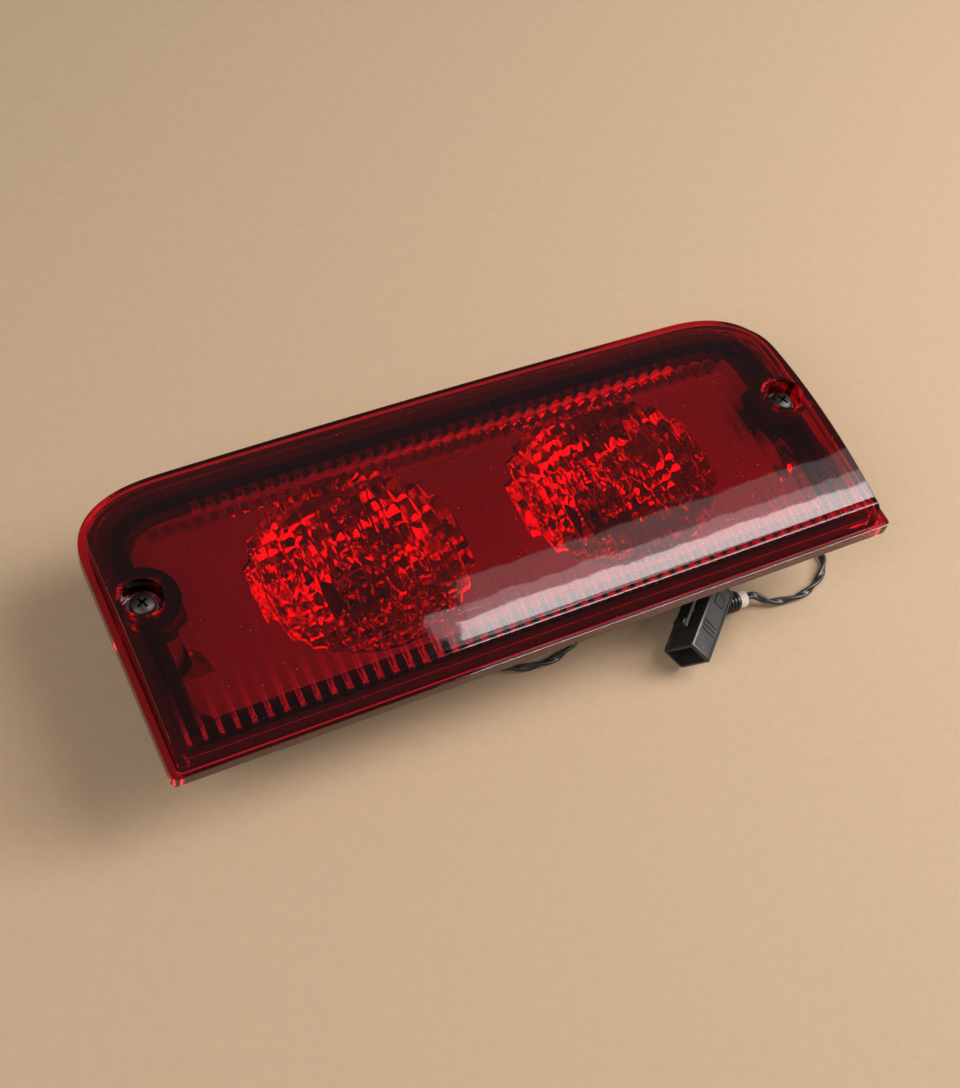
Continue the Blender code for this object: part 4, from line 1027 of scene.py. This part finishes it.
@dataclass
class HousingUnit:
    """The black rear housing with its ribs, gasket, vent and harness clip."""

    shape: LampShape = SHAPE
    floor: float = 16.5
    rib_t: float = 1.4
    rib_rise: float = 3.0
    rib_xs: Sequence[float] = (-84.0, -16.0, 16.0, 84.0)
    rib_reach: float = 25.0
    guard_r: float = 17.2
    guard_t: float = 1.5
    guard_rise: float = 3.4

    def build_ribs(self) -> None:
        """Cross ribs and socket guard rings on the back of the tub."""
        parts = []
        for x in self.rib_xs:
            parts.append(block((x - self.rib_t / 2, -self.rib_reach, self.floor - self.rib_rise),
                               (x + self.rib_t / 2, self.rib_reach, self.floor + 0.6), 0.3))
        for side in Side:
            low = self.floor - self.guard_rise
            profile = [(self.guard_r, self.floor + 0.5), (self.guard_r, low + 0.3),
                       (self.guard_r + 0.3, low), (self.guard_r + self.guard_t - 0.3, low),
                       (self.guard_r + self.guard_t, low + 0.3), (self.guard_r + self.guard_t, self.floor + 0.5),
                       (self.guard_r, self.floor + 0.5)]
            parts.append(turned(profile, 64, (side.value * self.shape.lamp_x, 0.0)))
        settle(piece("tub_ribs", merged(*parts), HOUSING), "lamp")

    def build(self) -> None:
        """Build the ribs and dress the CAD pieces."""
        dress("rear_housing", HOUSING)
        dress("body_gasket", FOAM)
        dress("vent_cap", RUBBER)
        dress("harness_clip", SMOOTH_BLACK)
        self.build_ribs()


@dataclass
class MountingScrew:
    """One mounting screw with its washer, sleeve and retainer."""

    side: Side
    shape: LampShape = SHAPE
    head_bottom: float = 46.2
    head_t: float = 3.0
    head_r: float = 3.9
    shank_r: float = 2.1
    length: float = 34.0
    cross_reach: float = 2.4
    cross_t: float = 0.9
    thread_pitch: float = 1.4
    thread_depth: float = 0.25

    def build(self) -> None:
        """Build the screw and dress the pieces it passes through."""
        top = self.head_bottom + self.head_t
        profile = [(0.0, top)]
        for n in range(1, 7):
            angle = math.radians(90 * n / 6)
            profile.append((self.head_r * math.sin(angle), top - 1.5 * (1 - math.cos(angle))))
        profile += [(self.head_r, self.head_bottom + 0.2), (self.head_r - 0.2, self.head_bottom),
                    (self.shank_r, self.head_bottom)]
        height = self.head_bottom - 12.0
        tip = self.head_bottom - self.length
        while height > tip + 3.2:
            profile += [(self.shank_r, height), (self.shank_r - self.thread_depth, height - self.thread_pitch / 2)]
            height -= self.thread_pitch
        profile += [(self.shank_r, tip + 3.0), (0.6, tip), (0.0, tip)]
        centre = (self.side.value * self.shape.screw_x, self.shape.screw_y)
        screw = piece("screw_head_" + self.side.word, turned(profile, 40, centre), BLACK_STEEL)
        arms = []
        for reach_x, reach_y in ((self.cross_reach, self.cross_t / 2), (self.cross_t / 2, self.cross_reach)):
            arm = block((-reach_x, -reach_y, -2.0), (reach_x, reach_y, 1.0))
            for vert in arm.verts:
                if vert.co.z < 0:
                    vert.co.x *= 0.6
                    vert.co.y *= 0.6
            bmesh.ops.rotate(arm, verts=arm.verts[:], cent=(0, 0, 0), matrix=Matrix.Rotation(0.5, 3, "Z"))
            bmesh.ops.translate(arm, verts=arm.verts[:], vec=(centre[0], centre[1], top - 0.1))
            arms.append(("DIFFERENCE", arm))
        carve(screw, arms)
        settle(screw, self.side.word + "_screw", "screw_" + self.side.word)
        dress("screw_washer_" + self.side.word, RUBBER)
        dress("screw_sleeve_" + self.side.word, ZINC)
        dress("screw_retainer_" + self.side.word, ZINC)


@dataclass
class BulbUnit:
    """One wedge bulb with its twist-lock socket."""

    side: Side
    shape: LampShape = SHAPE
    cap_r: float = 14.0
    cap_top: float = 14.0
    cap_bottom: float = 10.0
    knurls: int = 28

    def build_knurls(self) -> None:
        """The finger grips round the socket's cap."""
        grips = []
        for n in range(self.knurls):
            grip = block((self.cap_r - 1.1, -0.55, self.cap_bottom + 0.5), (self.cap_r + 0.45, 0.55,
                                                                          self.cap_top - 0.5), 0.25, 1)
            turn = Matrix.Rotation(math.tau * n / self.knurls, 3, "Z")
            bmesh.ops.rotate(grip, verts=grip.verts[:], cent=(0, 0, 0), matrix=turn)
            grips.append(grip)
        bm = merged(*grips)
        bmesh.ops.translate(bm, verts=bm.verts[:], vec=(self.side.value * self.shape.lamp_x, 0.0, 0.0))
        settle(piece("socket_grips_" + self.side.word, bm, SMOOTH_BLACK), self.side.word + "_socket")

    def build(self) -> None:
        """Build the grips and dress the CAD pieces."""
        word = self.side.word
        dress("socket_" + word, SMOOTH_BLACK)
        dress("socket_seal_" + word, RUBBER)
        dress("bulb_" + word, BULB_GLASS)
        dress("filament_" + word, TUNGSTEN)
        for letter in "ab":
            dress("contact_%s_%s" % (word, letter), BRASS)
        self.build_knurls()


# ---------------------------------------------------------------- connector and cords


@dataclass
class ConnectorUnit:
    """The two-way connector at the harness's free end, built lying flat and then placed."""

    length: float = 30.0
    width: float = 10.0
    depth: float = 13.0
    corner_r: float = 0.5
    wall: float = 1.4
    cavity: float = 14.0
    panel_margin: float = 0.9
    panel_depth: float = 0.3
    rib_count: int = 3
    rib_start: float = 9.0
    rib_pitch: float = 1.7
    rib_width: float = 0.8
    rib_inset: float = 2.0
    recess_from_end: float = 9.3
    recess_size: float = 4.6
    recess_depth: float = 2.2
    yaw: float = 42.5
    roll: float = 35.0
    place_x: float = 56.3
    place_y: float = -58.4
    outlet_r: float = 3.7
    outlet_length: float = 10.5
    outlet_axis: tuple[float, float, float] = (1.0, 0.0, -0.1)

    def placing(self) -> Matrix:
        """The turn and the move that put the connector on the surface, in millimetres."""
        roll = math.radians(self.roll)
        lowest = self.width / 2 * math.sin(roll) + self.depth * math.cos(roll)
        return (Matrix.Translation((self.place_x, self.place_y, lowest + 0.3))
                @ Matrix.Rotation(math.radians(self.yaw), 4, "Z") @ Matrix.Rotation(roll, 4, "X"))

    def build_shell(self) -> bmesh.types.BMesh:
        """The shell with its open mouth and sunk side panels.

        Returns:
            The mesh, lying flat, in millimetres.
        """
        half = self.width / 2
        bm = block((0, -half, -self.depth), (self.length, half, 0), self.corner_r, 3)
        bm.normal_update()
        large = sorted(bm.faces, key=lambda f: f.calc_area(), reverse=True)[:6]
        sides = [f for f in large if abs(f.normal.x) < 0.5]
        bmesh.ops.inset_individual(bm, faces=sides, thickness=self.panel_margin)
        bmesh.ops.inset_individual(bm, faces=sides, thickness=0.3, depth=-self.panel_depth)
        mouth = next(f for f in large if f.normal.x < -0.5)
        bmesh.ops.inset_individual(bm, faces=[mouth], thickness=self.wall - self.corner_r)
        grown = bmesh.ops.extrude_discrete_faces(bm, faces=[mouth])["faces"]
        bmesh.ops.translate(bm, verts=grown[0].verts[:], vec=(self.cavity, 0, 0))
        return bm

    def build_ribs(self) -> list[bmesh.types.BMesh]:
        """The grip ribs across the top panel, lying flat, one mesh each."""
        half = self.width / 2 - self.rib_inset
        places = [self.rib_start + n * self.rib_pitch for n in range(self.rib_count)]
        return [block((x, -half, -self.panel_depth - 0.3), (x + self.rib_width, half, -0.02)) for x in places]

    def build_outlet(self, frame_now: Matrix) -> bmesh.types.BMesh:
        """The cable outlet with its grooves, already in place.

        Args:
            frame_now: the connector's placing.

        Returns:
            The mesh, in millimetres.
        """
        r = self.outlet_r
        profile = [(0.0, 0.0), (r, 0.0), (r, 4.2)]
        for n in range(4):
            low = 4.4 + n * 1.4
            profile += [(r - 0.5, low), (r - 0.5, low + 0.5), (r, low + 0.7), (r, low + 1.2)]
        profile += [(r - 0.3, self.outlet_length), (0.0, self.outlet_length)]
        bm = turned(profile, 40)
        start = frame_now @ Vector((self.length - 7.0, -self.width / 2 + 2.5, -6.0))
        turn = Vector(self.outlet_axis).normalized().to_track_quat("Z", "Y").to_matrix().to_4x4()
        bmesh.ops.transform(bm, matrix=Matrix.Translation(start) @ turn, verts=bm.verts[:])
        return bm

    def build(self) -> None:
        """Build the shell and dress the rest."""
        place = self.placing()
        half = self.recess_size / 2
        start = self.length - self.recess_from_end
        recess = block((start, -half, -self.recess_depth), (start + self.recess_size, half, 1.0))
        shell = self.build_shell()
        ribs = self.build_ribs()
        for bm in (shell, recess, *ribs):
            bmesh.ops.transform(bm, matrix=place, verts=bm.verts[:])
        body = piece("connector_shell", shell, SMOOTH_BLACK)
        carve(body, [("DIFFERENCE", recess), ("UNION", self.build_outlet(place))]
              + [("UNION", rib) for rib in ribs])
        settle(body, "lamp", "connector_housing")
        dress("connector_latch", SMOOTH_BLACK)
        dress("terminal_lock", SMOOTH_BLACK)
        dress("terminal_a", ZINC)
        dress("terminal_b", ZINC)
        dress("cable_seal", SILICONE)


@dataclass
class Harness:
    """The main cord to the connector and the link cord between the sockets."""

    shape: LampShape = SHAPE
    diameter: float = 2.8
    wire_r: float = 0.74
    wire_offset: float = 0.66
    nub: float = 7.4
    bend: float = 5.7
    offset: float = 2.2
    clip: tuple[float, float, float] = (76.0, 0.0, 8.0)
    surface: float = 1.7
    seal_end: tuple[float, float, float] = (0.0, 0.0, 0.0)
    outlet: tuple[float, float, float] = (1.0, 0.0, -0.1)
    twist_every: float = 22.0

    def drop(self, x: float, heading: float) -> list[Vector]:
        """The quarter bend below a socket's nub.

        Args:
            x: the cord's place in the nub.
            heading: the way it leaves, in degrees.

        Returns:
            Route points from the nub to the surface.
        """
        turn = math.radians(heading)
        away = Vector((math.cos(turn), math.sin(turn), 0.0))
        mouth = Vector((x, 0.0, self.nub))
        angles = [math.radians(90 * n / 4) for n in range(5)]
        return [mouth + away * self.bend * (1 - math.cos(a)) - Vector((0, 0, self.bend * math.sin(a)))
                for a in angles]

    def main_points(self) -> list[Vector]:
        """The main cord's route from the connector's seal to the right socket."""
        first = Vector(self.seal_end)
        axis = Vector(self.outlet).normalized()
        x, y, z = self.clip
        table = [(97.0, -45.0, 2.4), (108.0, -46.5, 1.8), (118.0, -43.6, 1.8), (125.2, -36.0, 1.8),
                 (123.4, -22.0, 2.0), (112.0, -9.0, 3.4), (97.0, -2.0, 6.0), (88.0, 0.0, z - 0.4),
                 (x + 5.0, y, z), (x - 5.0, y, z), (65.5, 0.0, 6.0), (59.5, 0.0, 2.6)]
        end = list(reversed(self.drop(self.shape.lamp_x + self.offset, 0.0)))
        return [first, first + axis * 4.0] + [Vector(p) for p in table] + end

    def link_points(self) -> list[Vector]:
        """The link cord's route from the right socket to the left one."""
        table = [(37.5, -15.0), (31.0, -27.0), (21.0, -35.0), (8.0, -37.4), (-6.0, -33.0), (-17.0, -22.0),
                 (-29.0, -10.0)]
        middle = [Vector((x, y, self.surface)) for x, y in table]
        return (self.drop(self.shape.lamp_x - self.offset, -115.0) + middle
                + list(reversed(self.drop(-self.shape.lamp_x, -20.0))))

    def smooth(self, anchors: Sequence[Vector], spacing: float = 1.6) -> list[Vector]:
        """Even points along a smooth curve through the route.

        Args:
            anchors: the route's own points.
            spacing: about how far apart the points are.

        Returns:
            The points.
        """
        padded = [2 * anchors[0] - anchors[1], *anchors, 2 * anchors[-1] - anchors[-2]]
        dense = []
        for a, b, c, d in zip(padded, padded[1:], padded[2:], padded[3:]):
            for t in (n / 24 for n in range(24)):
                dense.append(0.5 * (2 * b + (c - a) * t + (2 * a - 5 * b + 4 * c - d) * t ** 2
                                    + (3 * b - a - 3 * c + d) * t ** 3))
        dense.append(anchors[-1])
        route = [dense[0]]
        walked = 0.0
        for before, after in zip(dense, dense[1:]):
            walked += (after - before).length
            if walked >= spacing:
                route.append(after)
                walked = 0.0
        route[-1] = dense[-1]
        return route

    def twin(self, name: str, route: Sequence[Vector]) -> bpy.types.Object:
        """A cord of two wires lying round each other in one thin skin.

        Args:
            name: the piece's name.
            route: its centreline.

        Returns:
            The cord as a mesh.
        """
        section = bpy.data.curves.new(name + "_section", "CURVE")
        section.dimensions = "2D"
        outline = section.splines.new("POLY")
        points = []
        for sign in (1, -1):
            for n in range(9):
                angle = math.radians(-118 + 236 * n / 8) + (0 if sign > 0 else math.pi)
                points.append((sign * self.wire_offset + self.wire_r * math.cos(angle),
                               self.wire_r * math.sin(angle)))
        outline.points.add(len(points) - 1)
        for control, (x, y) in zip(outline.points, points):
            control.co = (x * MM, y * MM, 0.0, 1.0)
        outline.use_cyclic_u = True
        guide = bpy.data.objects.new(name + "_section", section)
        bpy.context.scene.collection.objects.link(guide)
        curve = bpy.data.curves.new(name, "CURVE")
        curve.dimensions = "3D"
        curve.bevel_mode = "OBJECT"
        curve.bevel_object = guide
        curve.use_fill_caps = True
        spline = curve.splines.new("POLY")
        spline.points.add(len(route) - 1)
        walked = 0.0
        last = route[0]
        for control, point in zip(spline.points, route):
            walked += (point - last).length
            last = point
            control.co = (*(point * MM), 1.0)
            control.tilt = math.tau * walked / self.twist_every
        holder = bpy.data.objects.new(name + "_path", curve)
        bpy.context.scene.collection.objects.link(holder)
        bpy.context.view_layer.update()
        mesh = bpy.data.meshes.new_from_object(holder.evaluated_get(bpy.context.evaluated_depsgraph_get()))
        bpy.data.objects.remove(holder, do_unlink=True)
        bpy.data.objects.remove(guide, do_unlink=True)
        bm = bmesh.new()
        bm.from_mesh(mesh)
        bpy.data.meshes.remove(mesh)
        bmesh.ops.remove_doubles(bm, verts=bm.verts[:], dist=1e-6)
        bmesh.ops.recalc_face_normals(bm, faces=bm.faces)
        bmesh.ops.scale(bm, vec=(1 / MM,) * 3, verts=bm.verts[:])
        return piece(name, bm, CORD_SLEEVE, 50.0)

    def lay(self, name: str, node: str, anchors: Sequence[Vector]) -> None:
        """Args:
            name: the piece's name.
            node: the CAD cord that it replaces.
            anchors: its route.
        """
        route = self.smooth(anchors)
        cord = self.twin(name, route)
        settle(cord, "lamp", node)

    def build(self) -> None:
        """Build both cords."""
        self.lay("cord_main", "harness_cord", list(reversed(self.main_points())))
        self.lay("cord_link", "link_cord", self.link_points())


# ---------------------------------------------------------------- studio


@dataclass
class Studio:
    """The camera, the soft lights and the plain pale floor, in metres."""

    camera_at: Colour = (-0.20202, -0.23907, 0.49446)
    right: Colour = (0.88728, -0.43243, 0.16045)
    up: Colour = (0.29296, 0.79705, 0.52810)
    forward: Colour = (0.35625, 0.42157, -0.83389)
    lens: float = 56.25
    shift_y: float = 0.0069
    floor_colour: Colour = (0.40, 0.285, 0.18)
    floor_size: float = 3.0

    def build_camera(self) -> None:
        """The camera, which looks down at the lamp's lower left corner, a little rolled."""
        data = bpy.data.cameras.new("camera")
        data.lens = self.lens
        data.sensor_width = 36.0
        data.shift_y = self.shift_y
        data.clip_start = 0.01
        camera = bpy.data.objects.new("camera", data)
        bpy.context.scene.collection.objects.link(camera)
        turn = Matrix((Vector(self.right), Vector(self.up), -Vector(self.forward))).transposed().to_4x4()
        camera.matrix_world = Matrix.Translation(self.camera_at) @ turn
        bpy.context.scene.camera = camera

    def light(self, name: str, at: Colour, aim: Colour, size: Point, power: float, tint: Colour) -> None:
        """A rectangular soft light.

        Args:
            name: its name.
            at: where it is.
            aim: what it points at.
            size: its width and height.
            power: its power in watts.
            tint: its colour.
        """
        data = bpy.data.lights.new(name, "AREA")
        data.shape = "RECTANGLE"
        data.size, data.size_y = size
        data.energy = power
        data.color = tint
        lamp = bpy.data.objects.new(name, data)
        bpy.context.scene.collection.objects.link(lamp)
        lamp.location = at
        lamp.rotation_euler = (Vector(aim) - Vector(at)).to_track_quat("-Z", "Y").to_euler()

    def build_floor(self) -> None:
        """The plain pale floor, a flat sheet of warm card."""
        bm = bmesh.new()
        bmesh.ops.create_grid(bm, x_segments=2, y_segments=2, size=self.floor_size / MM / 2)
        floor = piece("floor", bm, None)
        made = bpy.data.materials.new("pale_card")
        made.use_nodes = True
        bench = Bench(made.node_tree)
        shader = made.node_tree.nodes["Principled BSDF"]
        where = bench.add("TexCoord").outputs["Object"]
        mottle = bench.spread(bench.noise(where, 260.0, 6.0, 0.7), 0.3, 0.7, 0.0, 1.0)
        darker = tuple(c * 0.93 for c in self.floor_colour)
        bench.join(bench.blend(mottle, self.floor_colour, darker), shader.inputs["Base Color"])
        shader.inputs["Roughness"].default_value = 0.85
        floor.data.materials.append(made)

    def build_world(self) -> None:
        """A low even fill from all round."""
        world = bpy.data.worlds.new("studio")
        world.use_nodes = True
        back = world.node_tree.nodes["Background"]
        back.inputs["Color"].default_value = (0.95, 0.97, 1.0, 1.0)
        back.inputs["Strength"].default_value = 0.14
        bpy.context.scene.world = world

    def build(self) -> None:
        """Build the camera, lights and floor."""
        self.build_camera()
        self.build_floor()
        self.build_world()
        self.light("soft_box", (0.51, -0.08, 0.85), (0.51, -0.08, 0.0), (0.52, 0.34), 4.2, (1.0, 0.99, 0.98))
        self.light("soft_box_edge", (0.51, -0.06, 0.849), (0.51, -0.06, 0.0), (0.56, 0.40), 1.5,
                   (1.0, 0.98, 0.97))
        self.light("soft_box_haze", (0.55, -0.02, 0.848), (0.55, -0.02, 0.0), (0.56, 0.50), 0.9,
                   (1.0, 0.96, 0.95))
        self.light("key_right", (1.05, -0.25, 0.8), (0.0, 0.0, 0.0), (0.5, 0.6), 15.0, (1.0, 0.97, 0.93))
        self.light("fill_left", (-0.75, -0.3, 0.9), (0.0, 0.0, 0.0), (0.7, 0.7), 9.0, (1.0, 0.97, 0.94))
        bpy.context.scene.view_settings.view_transform = "Standard"


def seal_end() -> tuple[float, float, float]:
    """Where the main cord leaves the connector's seal, in millimetres."""
    low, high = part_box("cable_seal")
    axis = Vector((1.0, 0.0, -0.1)).normalized()
    middle = (low + high) / 2 / MM
    end = middle + axis * (3.0 / 2 + 0.3)
    return tuple(end)


def main() -> None:
    """Build the stage, then every sub-assembly."""
    logging.basicConfig(level=logging.INFO, format="%(message)s", force=True)
    Studio().build()
    ConnectorUnit().build()
    Harness(seal_end=seal_end()).build()
    LensUnit().build()
    ReflectorUnit().build()
    HousingUnit().build()
    for side in Side:
        MountingScrew(side).build()
        BulbUnit(side).build()


if __name__ == "__main__":
    main()
